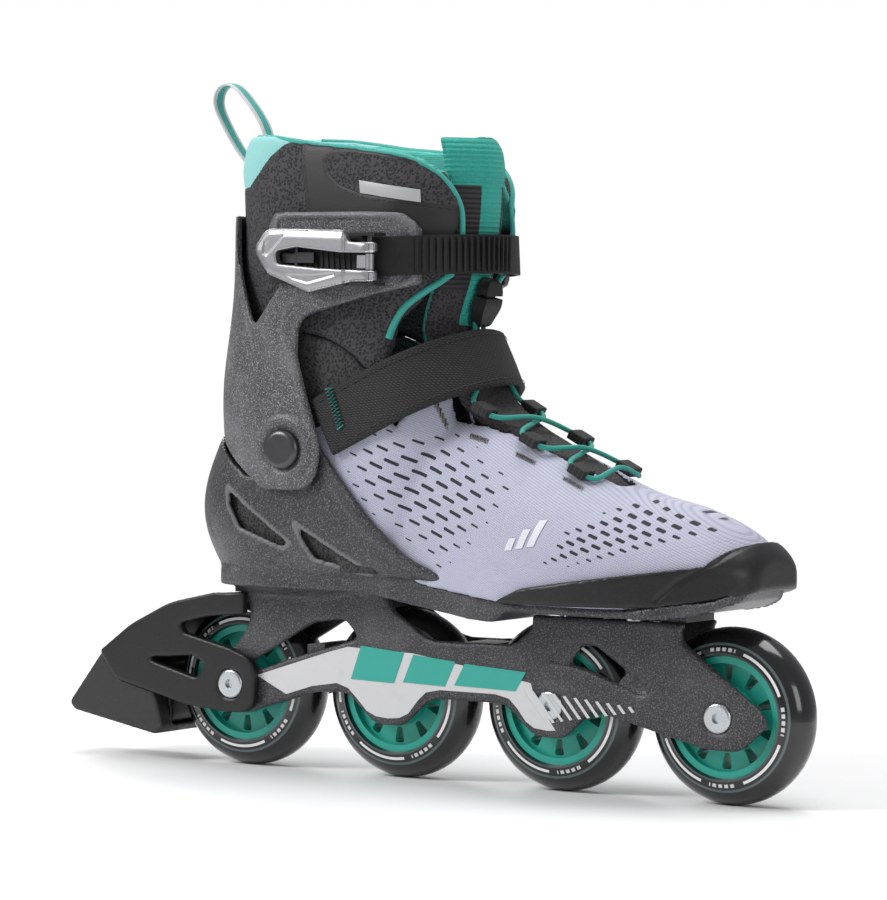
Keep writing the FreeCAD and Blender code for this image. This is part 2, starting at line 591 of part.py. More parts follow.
def collar():
    """Padded collar of the boot: a U around the shin that moves with the cuff."""
    wall = size("collar_wall")
    tube = ankle(0, 150, 302).cut(ankle(wall, 150, 302))
    rise = math.tan(math.radians(24))
    profile = [(-160, PIVOT.z), (PIVOT.x, PIVOT.z), (-33, PIVOT.z - (PIVOT.x + 33) * rise), (-34, 200, 5),
               (-31, 214, 8), (-19, 227, 6), (-7, 237, 4), (-3, 242, 6), (-2, 256, 10), (-3, 270, 10),
               (-9, 281, 10), (-20, 288.5, 14), (-38, 292, 20), (-70, 295, 20), (-100, 299, 20),
               (-124.3, 299.4, 0), (-131.9, 281.6, 0), (-160, 281.6)]
    zone = side_prism(profile).cut(pin(PIVOT.x, -80, 80, PIVOT.z, size("split_radius") + 0.5))
    edge = size("flap_edge")
    piece = tube.common(zone).cut(box(-40, 20, -edge, edge, 150, 310))
    piece = max(piece.Solids, key=lambda item: item.Volume)
    fill("collar", piece)


def pull_loop():
    """Webbing loop sewn on the rear corner of the collar."""
    outer = [(-132.3, 281, 0.5), (-142, 292.5, 12), (-156, 314.5, 5), (-153.5, 325, 4), (-146, 327, 5),
             (-133, 317, 12), (-124.2, 300.2, 0.5)]
    inner = [(-131.8, 284.6, 0.4), (-140.6, 294.2, 10), (-153.8, 315, 4), (-151.9, 323, 3),
             (-146.3, 324.6, 4), (-134.4, 315.6, 10), (-126.8, 300.6, 0.4)]
    half = size("pull_width") / 2
    fill("pull_loop", side_prism(outer, half, -half).cut(side_prism(inner)))


# ---------------------------------------------------------------- cuff and buckle

CUFF = [(135, -139.6), (163, -139.6), (184, -139.8), (199, -138), (216, -135.6), (249, -134.1),
        (266, -133.6)]


def cuff():
    """Hinged cuff: a spine at the back, an arm down to each pivot and a plate above it."""
    wall, half = size("cuff_wall"), size("cuff_half_width")
    outer = loft([ring_section(z, rear, 2, half) for z, rear in CUFF])
    inner = loft([ring_section(z, rear + wall, 2 - wall, half - wall, 48 - wall, 38 - wall) for z,
                  rear in CUFF])
    profile = [(-160, 262.5), (-121.5, 262.5, 2), (-119, 242, 20), (-102, 210, 3), (-85.5, 231, 5),
               (-95, 252, 4), (-90, 264, 5), (-21, 264, 7), (-14.6, 256, 3), (-14.6, 231, 3),
               (-46, 223.5, 20), (-76, 215, 10), (-77, 198, 12), (-71, 178, 20), (-63.5, 156, 15),
               (-66, 136.5, 12), (-92, 133.5, 13), (-139, 162.6, 3), (-160, 162.6)]
    shell = outer.cut(inner).common(side_prism(profile))
    holes = [pin(PIVOT.x, -60, 60, PIVOT.z, size("pivot_hole"))]
    holes += [pin(x, -60, -40, 242, 1.55) for x in BUCKLE_RIVET_X] + [pin(-70, 40, 60, 242, 2.05)]
    shell = shell.cut(holes)
    fill("cuff", max(shell.Solids, key=lambda item: item.Volume))


BUCKLE_RIVET_X = (-80, -44)


def buckle_base():
    """Plate riveted to the cuff, with ears beside the strap that hold the lever pin and the pawl pin."""
    x, y, radius = size("lever_pin_x"), size("lever_pin_y"), size("lever_pin_radius")
    pawl_x, pawl_y, pawl_radius = size("pawl_pin_x"), size("pawl_pin_y"), size("pawl_pin_radius")
    z = size("buckle_rivet_z")
    plate = side_prism([(-90, 231, 4), (-36.5, 230.2, 2), (-36.5, 254.5, 2), (-90, 252.6, 4)], -48.05, -49.5)
    ears = [box(x - 9.5, x + 4, -59, -49.4, low, low + 1.4) for low in (230.3, 253.0)]
    pawl_ears = [box(pawl_x - 3, pawl_x + 3, -54.4, -49.5, low, low + 1.2) for low in (230.3, 250.3)]
    base = plate.fuse(ears + pawl_ears).removeSplitter()
    base = base.cut([post(x, y, 225, 260, radius), post(pawl_x, pawl_y, 225, 260, pawl_radius)])
    base = base.cut([pin(rivet, -60, -40, z, 1.5) for rivet in BUCKLE_RIVET_X])
    fill("buckle_base", base)
    rivets = [pin(rivet, -44.9, -49.5, z, 1.5).fuse(pin(rivet, -43.9, -44.9, z, 3))
              for rivet in BUCKLE_RIVET_X]
    fill("buckle_rivets", Part.makeCompound(rivets))
    pins = [post(x, y, 229.9, 254.8, radius), post(pawl_x, pawl_y, 229.9, 251.9, pawl_radius)]
    fill("buckle_pins", Part.makeCompound(pins))


def u_band(half_width, thickness, rear, nose):
    """Plan of a band that runs forward on one side, around the front and back on the other."""
    def side(grow):
        centre = nose - 40
        arc = Part.Ellipse
        long_radius, wide = 40 + grow, half_width + grow
        if long_radius >= wide:
            curve = arc(Vector(centre + long_radius, 0, 0), Vector(centre, wide, 0), Vector(centre, 0, 0))
            bend = Part.ArcOfEllipse(curve, -math.pi / 2, math.pi / 2)
        else:
            curve = arc(Vector(centre, wide, 0), Vector(centre - long_radius, 0, 0), Vector(centre, 0, 0))
            bend = Part.ArcOfEllipse(curve, math.pi, 2 * math.pi)
        return bend.toShape(), centre, wide
    inner, centre, inner_wide = side(0)
    outer, _, outer_wide = side(thickness)
    edges = [inner, outer]
    for s in (1, -1):
        edges.append(Part.makeLine(Vector(centre, s * inner_wide, 0), Vector(rear, s * inner_wide, 0)))
        edges.append(Part.makeLine(Vector(centre, s * outer_wide, 0), Vector(rear, s * outer_wide, 0)))
        edges.append(Part.makeLine(Vector(rear, s * inner_wide, 0), Vector(rear, s * outer_wide, 0)))
    return Part.Face(Part.Wire(Part.__sortEdges__(edges)))


def ladder_strap():
    """Toothed strap: through the buckle, around the tongue and back to the inner side of the cuff."""
    width, thick = size("ladder_width"), size("ladder_thickness")
    band = u_band(size("ladder_half_width"), thick, -88, 4.2).extrude(Vector(0, 0, width))
    teeth = [box(x, x + 1.2, -52.2, -50.7, 4, width - 4) for x in [-84 + 3.0 * i for i in range(14)]]
    band.translate(Vector(0, -0.8, 0))
    band = band.fuse(teeth)
    band.rotate(Vector(-60, 0, 0), Vector(0, 1, 0), -3.5)
    band.translate(Vector(0, 0, 232.6))
    band = band.cut(pin(-70, 40, 60, 242, 2.05))
    fill("ladder_strap", band.cut(box(-100, -50, 30, 60, 200, 260).cut(box(-78, -50, 30, 60, 200, 260))))
    fill("strap_screw", pin(-70, 43.6, 50.2, 242, 2).fuse(pin(-70, 50.2, 52, 242, 4)))


LEVER = [(-27.6, 250, 1), (-42, 250.2, 1), (-44.5, 255.6, 1), (-86.5, 256, 6), (-93.6, 246.4, 5),
         (-85.5, 235.2, 4), (-63, 227, 3), (-40.5, 232, 3), (-27.6, 232.2, 1), (-27.6, 237, 1),
         (-58, 238, 10), (-80.5, 239.8, 2.5), (-81.5, 245.6, 2), (-70, 247.6, 6), (-45.7, 245.2, 6),
         (-27.6, 245.3, 1)]


def buckle_lever():
    """Cast lever: a loop to pull and two fork arms hinged on the pin."""
    x, y = size("lever_pin_x"), size("lever_pin_y")
    lever = side_prism(LEVER, -54.7, -59.2).cut(box(-44, -20, -62, -58.2, 220, 260))
    fill("buckle_lever", lever.cut(post(x, y, 220, 260, size("lever_pin_radius") + 0.04)))
    barrel = post(x, y, 237.6, 244.7, 2.0)
    finger = box(x - 7, x, y, y + 1.6, 238.2, 244.1)
    fill("drive_pawl", barrel.fuse(finger).cut(post(x, y, 230, 250, size("lever_pin_radius") + 0.04)))


def lock_pawl():
    """Sprung pawl that keeps the strap from slipping back, with a release tab."""
    x, y = size("pawl_pin_x"), size("pawl_pin_y")
    body = post(x, y, 240.4, 245.2, 1.1).fuse(box(x, x + 10, y - 0.9, y + 0.7, 240.4, 245.2))
    body = body.fuse(box(x - 7, x, y - 1.1, y, 240.4, 244.6))
    fill("lock_pawl", body.cut(post(x, y, 230, 250, size("pawl_pin_radius") + 0.05)))


def power_strap():
    """45 degree strap over the instep: a band around a tube whose axis leans back with the ankle."""
    thick, width = size("power_thickness"), size("power_width")
    band = u_band(size("power_half_width"), thick, -68, 0).extrude(Vector(0, 0, width))
    band.translate(Vector(0, 0, -width / 2))
    band.rotate(Vector(0, 0, 0), Vector(0, 1, 0), -26)
    band.translate(Vector(2.5, 0, 197.5))
    fill("power_strap", band)


# ---------------------------------------------------------------- laces

SLOPE = math.radians(27.5)
LOOPS = [(9.5, 173.2), (35.5, 160.0), (61.0, 146.8)]


def along(x, z, distance, lift=0.0):
    """A point moved down the instep and away from it."""
    across, down = math.cos(SLOPE), math.sin(SLOPE)
    return (x + distance * across + lift * down, z - distance * down + lift * across)


def cord(points, radius, bend):
    """A round cord along straight runs joined by tangent arcs."""
    edges = []
    last = Vector(*points[0])
    for i in range(1, len(points) - 1):
        here = Vector(*points[i])
        before = (Vector(*points[i - 1]) - here)
        after = (Vector(*points[i + 1]) - here)
        shortest = 0.45 * min(before.Length, after.Length)
        before.normalize()
        after.normalize()
        half = before.getAngle(after) / 2
        reach = min(shortest, bend / math.tan(half))
        arc_radius = reach * math.tan(half)
        start, end = here + before * reach, here + after * reach
        middle = here + (before + after).normalize() * (arc_radius / math.sin(half) - arc_radius)
        edges.append(Part.makeLine(last, start))
        edges.append(Part.Arc(start, middle, end).toShape())
        last = end
    edges.append(Part.makeLine(last, Vector(*points[-1])))
    path = Part.Wire(edges)
    direction = Vector(*points[1]) - Vector(*points[0])
    section = Part.Wire(Part.makeCircle(radius, Vector(*points[0]), direction))
    return path.makePipeShell([section], True, True)


def crossing(row, lift):
    """Where two strands cross over the tongue, between two rows of loops."""
    (xa, za), (xb, zb) = LOOPS[row], LOOPS[row + 1]
    spot = along((xa + xb) / 2, (za + zb) / 2, 0, lift)
    return (spot[0], 0, spot[1])


def lace():
    """Elastic lace: from the lock down through the loops, across at the toe end and back up to the lock."""
    reach, over, under, side = 6.8, 4.6, 1.7, 21
    ends = {}
    for row, (x, z) in enumerate(LOOPS):
        for s in (-1, 1):
            high, low = along(x, z, -reach, 1.2), along(x, z, reach, 1.2)
            ends[s, row] = ((high[0], s * side, high[1]), (low[0], s * side, low[1]))
    down = [(-6.9, -3.4, 216.0), (-5.4, -5, 204.5), (1.9, -13, 187), *ends[-1, 0], crossing(0, over),
            *ends[1, 1], crossing(1, under)]
    toe = [*ends[-1, 2], (69.5, 0, 149.2), *reversed(ends[1, 2])]
    up = [crossing(1, over), *reversed(ends[-1, 1]), crossing(0, under), *reversed(ends[1, 0]),
          (1.9, 13, 187), (-5.4, 5, 204.5), (-6.9, 3.4, 216.0)]
    fill("lace", cord(down + toe + up, size("lace_radius"), 2.6))


def lace_loops():
    """Webbing loops on both edges of the throat, each with a channel for the lace."""
    width, radius = size("loop_width"), size("lace_radius") + 0.1
    pieces = []
    for x, z in LOOPS:
        for s in (-1, 1):
            block = box(-width / 2, width / 2, -6, 4.5, -1.0, 3.4)
            block = block.cut(Part.makeCylinder(radius, 40, Vector(-20, 0, 1.2), Vector(1, 0, 0)))
            if s > 0:
                block = block.mirror(Vector(0, 0, 0), Vector(0, 1, 0))
            block.rotate(Vector(0, 0, 0), Vector(0, 1, 0), math.degrees(SLOPE))
            block.translate(Vector(x, s * 21, z))
            pieces.append(block.cut([made["boot_upper"], made["tongue"]]))
    fill("lace_loops", Part.makeCompound(pieces))


LOCK_FOOT = Vector(-7.0, 0, 212.2)
LOCK_LEAN = 15.0


def lean(shape):
    """Stand a piece that was drawn upright on the front of the tongue, along its slope."""
    shape.rotate(Vector(0, 0, 0), Vector(0, 1, 0), LOCK_LEAN)
    shape.translate(LOCK_FOOT)
    return shape


def lace_lock():
    """Egg-shaped lace lock: a body that grips the lace, with a well for the sprung push button."""
    egg = mirrored_outline([(0.2, 4.2, 3), (9, 7.3, 8), (23, 6.6, 6)])
    front = face_of(rounded([(p[1], p[0]) + tuple(p[2:]) for p in egg]))
    front.rotate(Vector(0, 0, 0), Vector(1, 0, 0), 90)
    front.rotate(Vector(0, 0, 0), Vector(0, 0, 1), 90)
    front.translate(Vector(-1.6, 0, 0))
    whole = front.extrude(Vector(7.4, 0, 0))
    whole = whole.common(side_prism([(-1.6, 0), (-1.6, 23), (3.4, 23, 2.5), (5.6, 12, 12), (3.4, 0, 2.5)],
                                    20, -20))
    body = whole.common(box(-10, 10, -20, 20, -1, 14.2)).cut(box(-0.2, 2.8, -4.2, 4.2, 9, 20))
    button = whole.common(box(-10, 10, -20, 20, 15.6, 30)).fuse(box(-0.1, 2.7, -4.1, 4.1, 10.5, 16))
    fill("lace_lock", lean(body).cut(made["lace"]))
    fill("lock_button", lean(button))


# ---------------------------------------------------------------- build and write

for number in range(1, 5):
    tyre(number)
    hub(number)
    bearings(number)
axles()
rail("rail_lateral", False)
rail("rail_medial", True)
STEPS = (bridges, sole_plate, fasteners, heel_cup, pivot_rivets, brake_arm, brake_pad, boot_upper, footbed,
         toe_cap, tongue, collar, pull_loop, cuff, buckle_base, ladder_strap, buckle_lever, lock_pawl,
         power_strap, lace, lace_loops, lace_lock)
for build in STEPS:
    build()
doc.recompute()

for obj in doc.Objects:
    if "Invalid" in obj.State or "Error" in obj.State:
        raise RuntimeError("%s is in state %s" % (obj.Label, obj.State))
for obj in exported:
    if obj.Shape.isNull() or not obj.Shape.isValid() or not obj.Shape.Solids:
        raise RuntimeError("%s has no valid solid" % obj.Label)

os.makedirs("parts", exist_ok=True)
for obj in exported:
    obj.Shape.exportStep(os.path.join("parts", obj.Label + ".step"))
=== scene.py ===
import math

import bmesh
import bpy
import numpy as np
from mathutils import Matrix, Vector
from mathutils.bvhtree import BVHTree


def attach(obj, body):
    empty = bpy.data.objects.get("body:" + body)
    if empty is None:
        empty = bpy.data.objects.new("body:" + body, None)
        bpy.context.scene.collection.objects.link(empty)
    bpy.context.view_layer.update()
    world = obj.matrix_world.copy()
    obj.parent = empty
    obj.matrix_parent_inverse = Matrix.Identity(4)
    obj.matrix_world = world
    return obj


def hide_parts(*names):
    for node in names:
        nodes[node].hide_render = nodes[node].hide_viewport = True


# Inline skate. Every outline below is in millimetres in the row frame: X to the toe, Y to the
# inner side, Z up. A side view is a list of (x, z).

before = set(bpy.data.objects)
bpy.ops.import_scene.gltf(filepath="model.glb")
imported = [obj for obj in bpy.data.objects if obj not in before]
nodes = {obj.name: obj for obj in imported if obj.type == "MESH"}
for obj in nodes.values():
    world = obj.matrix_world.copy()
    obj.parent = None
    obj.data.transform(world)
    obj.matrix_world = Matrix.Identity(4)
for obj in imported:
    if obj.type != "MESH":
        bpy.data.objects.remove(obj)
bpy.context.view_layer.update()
MM = 0.001

AXLES = [-130, -43.33, 43.33, 130]
AXLE_HEIGHT = 40.0
PIVOT = (-83.3, 154)
INSTEP = math.radians(27.5)
LOOPS = [(9.5, 173.2), (35.5, 160), (61, 146.8)]
STRAP_TILT = math.radians(26)


# ------------ small geometry tools

def collect(points):
    return np.asarray(points, float)


def ease(value, low, high):
    """Smooth step from 0 at low to 1 at high."""
    t = np.clip((value - low) / (high - low), 0, 1)
    return t * t * (3 - 2 * t)


def near(distance, low, high):
    """Smooth step from 1 at low to 0 at high."""
    return 1 - ease(distance, low, high)


def line_distance(spots, line, closed=False):
    """Distance of each (x, z) from a polyline."""
    ends = collect(line + line[:1] if closed else line)
    best = np.full(len(spots), 1e9)
    for a, b in zip(ends[:-1], ends[1:]):
        run = b - a
        t = np.clip(((spots - a) @ run) / max(run @ run, 1e-9), 0, 1)
        best = np.minimum(best, np.linalg.norm(spots - a - t[:, None] * run, axis=1))
    return best


def inside_by(spots, outline):
    """Signed distance of each (x, z) from a closed outline, positive inside."""
    ends = collect(outline)
    odd = np.zeros(len(spots), bool)
    for a, b in zip(ends, np.roll(ends, -1, axis=0)):
        spans = (a[1] > spots[:, 1]) != (b[1] > spots[:, 1])
        reach = a[0] + (spots[:, 1] - a[1]) * (b[0] - a[0]) / (b[1] - a[1] if b[1] != a[1] else 1e-9)
        odd ^= spans & (spots[:, 0] < reach)
    distance = line_distance(spots, list(map(tuple, ends)), closed=True)
    return np.where(odd, distance, -distance)


def spline(points, count, closed=False):
    """Evenly parametrised points on a smooth curve through the given ones."""
    given = collect(points)
    last = len(given) if closed else len(given) - 1
    result = []
    for s in np.linspace(0, last, count, endpoint=not closed):
        i = min(int(s), last - 1)
        t = s - i
        picks = np.arange(i - 1, i + 3)
        a, b, c, d = given[picks % len(given) if closed else np.clip(picks, 0, last)]
        result.append(0.5 * (2 * b + (c - a) * t + (2 * a - 5 * b + 4 * c - d) * t * t
                             + (3 * b - a - 3 * c + d) * t ** 3))
    return collect(result)


def new_piece(name, mesh, material, body):
    piece = bpy.data.objects.new(name, mesh)
    bpy.context.scene.collection.objects.link(piece)
    if material is not None:
        mesh.materials.append(material)
    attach(piece, body)
    return piece


def mesh_of(name, points, faces, smooth=True):
    """A mesh from millimetre points."""
    mesh = bpy.data.meshes.new(name)
    mesh.from_pydata([tuple(p) for p in collect(points) * MM], [], faces)
    mesh.polygons.foreach_set("use_smooth", [smooth] * len(mesh.polygons))
    mesh.update()
    return mesh


def grid_faces(rows, columns, wrap_rows=False, wrap_columns=False):
    faces = []
    for i in range(rows if wrap_rows else rows - 1):
        for j in range(columns if wrap_columns else columns - 1):
            k, m = (i + 1) % rows, (j + 1) % columns
            faces.append((i * columns + j, k * columns + j, k * columns + m, i * columns + m))
    return faces


def tube_faces(rows, columns):
    """Rings joined into a tube, closed at both ends."""
    faces = grid_faces(rows, columns, wrap_columns=True)
    faces.append(tuple(range(columns)))
    faces.append(tuple(reversed(range((rows - 1) * columns, rows * columns))))
    return faces


def bake(piece):
    """Apply a piece's modifiers."""
    graph = bpy.context.evaluated_depsgraph_get()
    mesh = bpy.data.meshes.new_from_object(piece.evaluated_get(graph))
    piece.modifiers.clear()
    piece.data = mesh
    mesh.polygons.foreach_set("use_smooth", [True] * len(mesh.polygons))


def recast(name, members, voxel, passes, body, material, extra=()):
    """A new mesh over some CAD nodes, with their edges rounded as a moulded or sewn part has them.

    The voxel size is in millimetres, and passes is how many times the mesh is smoothed."""
    joined = bmesh.new()
    for member in members:
        joined.from_mesh(nodes[member].data)
    for mesh in extra:
        joined.from_mesh(mesh)
    mesh = bpy.data.meshes.new(name)
    joined.to_mesh(mesh)
    joined.free()
    piece = new_piece(name, mesh, None, body)
    remesh = piece.modifiers.new("voxels", "REMESH")
    remesh.mode = "VOXEL"
    remesh.voxel_size = voxel * MM
    soften = piece.modifiers.new("soften", "SMOOTH")
    soften.factor = 0.5
    soften.iterations = passes
    bake(piece)
    piece.data.materials.append(material)
    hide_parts(*members)
    return piece


def vertices_of(piece):
    """Places in millimetres, normals and side view of a piece's vertices."""
    mesh = piece.data
    places = np.zeros(len(mesh.vertices) * 3)
    normals = np.zeros(len(mesh.vertices) * 3)
    mesh.vertices.foreach_get("co", places)
    mesh.vertices.foreach_get("normal", normals)
    places = places.reshape(-1, 3) / MM
    return places, normals.reshape(-1, 3), places[:, [0, 2]]


def faces_out(places, normals):
    """Whether each vertex looks away from the middle plane."""
    return np.sign(normals[:, 1]) * np.sign(places[:, 1]) > 0


def push(piece, amount):
    """Move each vertex along its normal by its own amount, in millimetres."""
    places, normals, _ = vertices_of(piece)
    piece.data.vertices.foreach_set("co", ((places + normals * amount[:, None]) * MM).ravel())
    piece.data.update()


def mark(piece, name, values):
    """Store a number on each vertex for the materials."""
    layer = piece.data.attributes.get(name) or piece.data.attributes.new(name, "FLOAT", "POINT")
    layer.data.foreach_set("value", values.astype(np.float32))


def tree_of(piece):
    """A piece's surface, for rays."""
    corners = [vertex.co.copy() for vertex in piece.data.vertices]
    return BVHTree.FromPolygons(corners, [list(polygon.vertices) for polygon in piece.data.polygons])


def lay_on(tree, points, way, lift=0.3):
    """Drop millimetre points onto a surface along a direction, and lift them off it a little."""
    result = []
    way = Vector(way).normalized()
    for p in points:
        start = Vector(p) * MM - way * 0.06
        hit, normal, _, _ = tree.ray_cast(start, way, 0.2)
        spot = hit + normal * lift * MM if hit is not None else Vector(p) * MM
        result.append(tuple(spot / MM))
    return result


def thread(name, runs, radius, material, body, cyclic=False, segments=6):
    """Round cords through millimetre points, as one piece."""
    points, faces = [], []
    for run in runs:
        path = collect(run)
        count = len(path)
        if cyclic:
            tangent = np.roll(path, -1, axis=0) - np.roll(path, 1, axis=0)
        else:
            tangent = np.gradient(path, axis=0)
        tangent /= np.maximum(np.linalg.norm(tangent, axis=1), 1e-9)[:, None]
        across = np.cross(tangent[0], (0.31, 0.17, 0.94))
        base = len(points)
        for i in range(count):
            across = across - tangent[i] * (across @ tangent[i])
            across = across / np.linalg.norm(across)
            upward = np.cross(tangent[i], across)
            for k in range(segments):
                angle = 2 * math.pi * k / segments
                points.append(path[i] + radius * (math.cos(angle) * across + math.sin(angle) * upward))
        for face in grid_faces(count, segments, wrap_rows=cyclic, wrap_columns=True):
            faces.append(tuple(base + index for index in reversed(face)))
        if not cyclic:
            faces.append(tuple(base + k for k in range(segments)))
            faces.append(tuple(base + (count - 1) * segments + k for k in reversed(range(segments))))
    return new_piece(name, mesh_of(name, points, faces), material, body)


def patch(corners, rows, columns):
    """Grid over a four-cornered field as (x, z, s, t): s runs from 0 at the first two corners to 1."""
    first, second, third, fourth = collect(corners)
    spots = []
    for s in np.arange(rows) / (rows - 1):
        for t in np.arange(columns) / (columns - 1):
            start = first * (1 - t) + second * t
            end = fourth * (1 - t) + third * t
            spots.append((*(start * (1 - s) + end * s), s, t))
    return spots


def zigzag(start, end, width, turns):
    """Points of a bar tack: a zigzag from start to end in the plane given by the width vector."""
    start, end, width = collect(start), collect(end), collect(width)
    return [start + (end - start) * i / turns + width * (0.5 if i % 2 else -0.5) for i in range(turns + 1)]


# ------------ materials

class Look:
    """One Principled material built from procedural nodes. Its texture scales are per millimetre."""

    def __init__(self, name, colour, roughness, **sockets):
        self.material = bpy.data.materials.new(name)
        self.material.use_nodes = True
        self.tree = self.material.node_tree
        self.shader = self.tree.nodes["Principled BSDF"]
        self.colour = (*colour, 1)
        self.roughness = roughness
        self.height = None
        for socket, value in sockets.items():
            self.shader.inputs[socket.replace("_", " ")].default_value = value
        coordinates = self.node("TexCoord")
        self.place = self.scaled(coordinates.outputs["Object"], (1 / MM, 1 / MM, 1 / MM))
        self.x, self.y, self.z = self.node("SeparateXYZ", {0: self.place}).outputs

    def node(self, kind, inputs=None, **settings):
        made = self.tree.nodes.new("ShaderNode" + kind)
        for key, value in settings.items():
            setattr(made, key, value)
        for key, value in (inputs or {}).items():
            if isinstance(value, bpy.types.NodeSocket):
                self.tree.links.new(value, made.inputs[key])
            else:
                made.inputs[key].default_value = value
        return made

    def scaled(self, vector, factors):
        return self.node("VectorMath", {0: vector, 1: factors}, operation="MULTIPLY").outputs[0]

    def maths(self, operation, a, b=0.0, c=0.0):
        return self.node("Math", {0: a, 1: b, 2: c}, operation=operation).outputs[0]

    def total(self, a, b):
        return self.maths("ADD", a, b)

    def product(self, a, b):
        return self.maths("MULTIPLY", a, b)

    def wave(self, value, pitch):
        """0 to 1 and back over each pitch."""
        turned = self.product(value, 2 * math.pi / pitch)
        return self.maths("MULTIPLY_ADD", self.maths("SINE", turned), 0.5, 0.5)

    def noise(self, size, detail=2.0, at=None):
        inputs = {"Vector": at or self.place, "Scale": 1 / size, "Detail": detail, "Roughness": 0.55}
        return self.node("TexNoise", inputs).outputs[0]

    def cells(self, size):
        return self.node("TexVoronoi", {"Vector": self.place, "Scale": 1 / size}).outputs["Distance"]

    def step(self, value, low, high):
        """0 below low, 1 above high, smooth between them."""
        inputs = {"Value": value, "From Min": low, "From Max": high}
        return self.node("MapRange", inputs, interpolation_type="SMOOTHSTEP").outputs[0]

    def stored(self, name):
        return self.node("Attribute", attribute_name=name).outputs["Fac"]

    def both(self, a, b):
        return self.product(a, b)

    def either(self, a, b):
        return self.maths("MAXIMUM", a, b)

    def invert(self, a):
        return self.maths("SUBTRACT", 1, a)

    def tint(self, amount, colour, share=None):
        """Mix another colour over what is there, by an amount or a share of it."""
        mixed = amount if share is None else self.product(amount, share)
        made = self.node("Mix", {0: mixed}, data_type="RGBA")
        for index, value in ((6, self.colour), (7, (*colour, 1))):
            if isinstance(value, bpy.types.NodeSocket):
                self.tree.links.new(value, made.inputs[index])
            else:
                made.inputs[index].default_value = value
        self.colour = made.outputs[2]

    def gloss(self, amount, roughness):
        made = self.node("Mix", {0: amount, 2: self.roughness, 3: roughness}, data_type="FLOAT")
        self.roughness = made.outputs[0]

    def blotch(self, noise, low, high, amount, colour):
        """Tint in patches of noise, given as its size and detail."""
        self.tint(self.step(self.noise(*noise), low, high), colour, amount)

    def patchy(self, noise, low, high, roughness):
        self.gloss(self.step(self.noise(*noise), low, high), roughness)

    def net(self, mask, pitch, low, amount, colour, height):
        """Raised crossings of a net where the mask is, made paler with painted highlight."""
        crossing = self.product(mask, self.step(self.cells(pitch), low, 0.6))
        self.rise(crossing, height)
        # Painted highlight on the raised crossings.
        self.tint(crossing, colour, amount)

    def rise(self, value, distance):
        """Add a height in millimetres to the surface."""
        lifted = self.product(value, distance)
        self.height = lifted if self.height is None else self.total(self.height, lifted)

    def done(self):
        for socket, value in (("Base Color", self.colour), ("Roughness", self.roughness)):
            if isinstance(value, bpy.types.NodeSocket):
                self.tree.links.new(value, self.shader.inputs[socket])
            else:
                self.shader.inputs[socket].default_value = value
        if self.height is not None:
            bump = self.node("Bump", {"Height": self.height, "Strength": 1, "Distance": MM})
            self.tree.links.new(bump.outputs[0], self.shader.inputs["Normal"])
        return self.material


TEAL = (0.015, 0.345, 0.27)


def grained(name, colour, grain, depth, roughness, pale_highlight):
    """Moulded plastic with a spark-eroded grain and smoother peaks, paler with painted glints, and pits
    darker with painted shade.
    """
    look = Look(name, colour, roughness)
    pits = look.cells(grain)
    fine = look.noise(grain * 0.75, 3)
    broad = look.noise(26, 3)
    look.rise(pits, depth)
    look.rise(fine, depth * 1.2)
    # Painted glints: the fine grain's raised peaks are tinted pale.
    look.tint(look.step(fine, 0.50, 0.66), pale_highlight, 0.85)
    look.tint(look.step(broad, 0.45, 0.75), pale_highlight, 0.25)
    # Painted shade: the grain's sunk pits are darkened.
    look.tint(look.invert(look.step(pits, 0.08, 0.3)), (0.004, 0.004, 0.004), 0.6)
    look.patchy((9, 2), 0.4, 0.7, roughness + 0.10)
    return look


def chassis_plastic():
    look = grained("grained_black", (0.024, 0.024, 0.027), 0.9, 0.11, 0.38, (0.155, 0.151, 0.162))
    band = look.step(look.stored("band"), 0.2, 0.8)
    coarse = look.cells(1.4)
    look.rise(look.both(band, coarse), 0.16)
    look.gloss(band, 0.34)
    # Painted highlight: a paler tint along the raised vent borders.
    highlight_and_wear = look.step(look.stored("ridge_highlight"), 0.15, 0.9)
    look.tint(highlight_and_wear, (0.20, 0.20, 0.21), 0.6)
    return look.done()


def lit_cuff_plastic():
    # Painted light: a lighter copy of the grained black, with brighter glints, for the light that falls on
    # the cuff.
    look = grained("grained_cuff_lit", (0.055, 0.055, 0.060), 0.85, 0.12, 0.38, (0.30, 0.294, 0.315))
    # Painted highlight: a paler tint along the plate edge and the arm's edge.
    highlight_and_wear = look.step(look.stored("ridge_highlight"), 0.15, 0.9)
    look.tint(highlight_and_wear, (0.20, 0.20, 0.21), 0.45)
    return look.done()


def smooth_plastic(name, colour, roughness, depth, specular):
    look = Look(name, colour, roughness, Specular_IOR_Level=specular)
    look.rise(look.noise(0.7, 3), depth)
    look.rise(look.noise(14, 2), 0.05)
    look.blotch((1.1, 4), 0.5, 0.72, 0.5, tuple(c * 2.4 for c in colour))
    look.blotch((7, 4), 0.5, 0.75, 0.3, tuple(c * 1.8 for c in colour))
    look.patchy((2.2, 4), 0.5, 0.7, roughness + 0.1)
    return look.done()


def brake_rubber():
    look = Look("brake_rubber", (0.019, 0.019, 0.020), 0.42)
    scuff = look.noise(3.5, 6)
    look.rise(look.noise(0.6, 3), 0.05)
    look.rise(scuff, 0.08)
    look.tint(look.step(scuff, 0.55, 0.75), (0.04, 0.04, 0.042), 0.5)
    look.gloss(look.step(scuff, 0.4, 0.6), 0.62)
    return look.done()


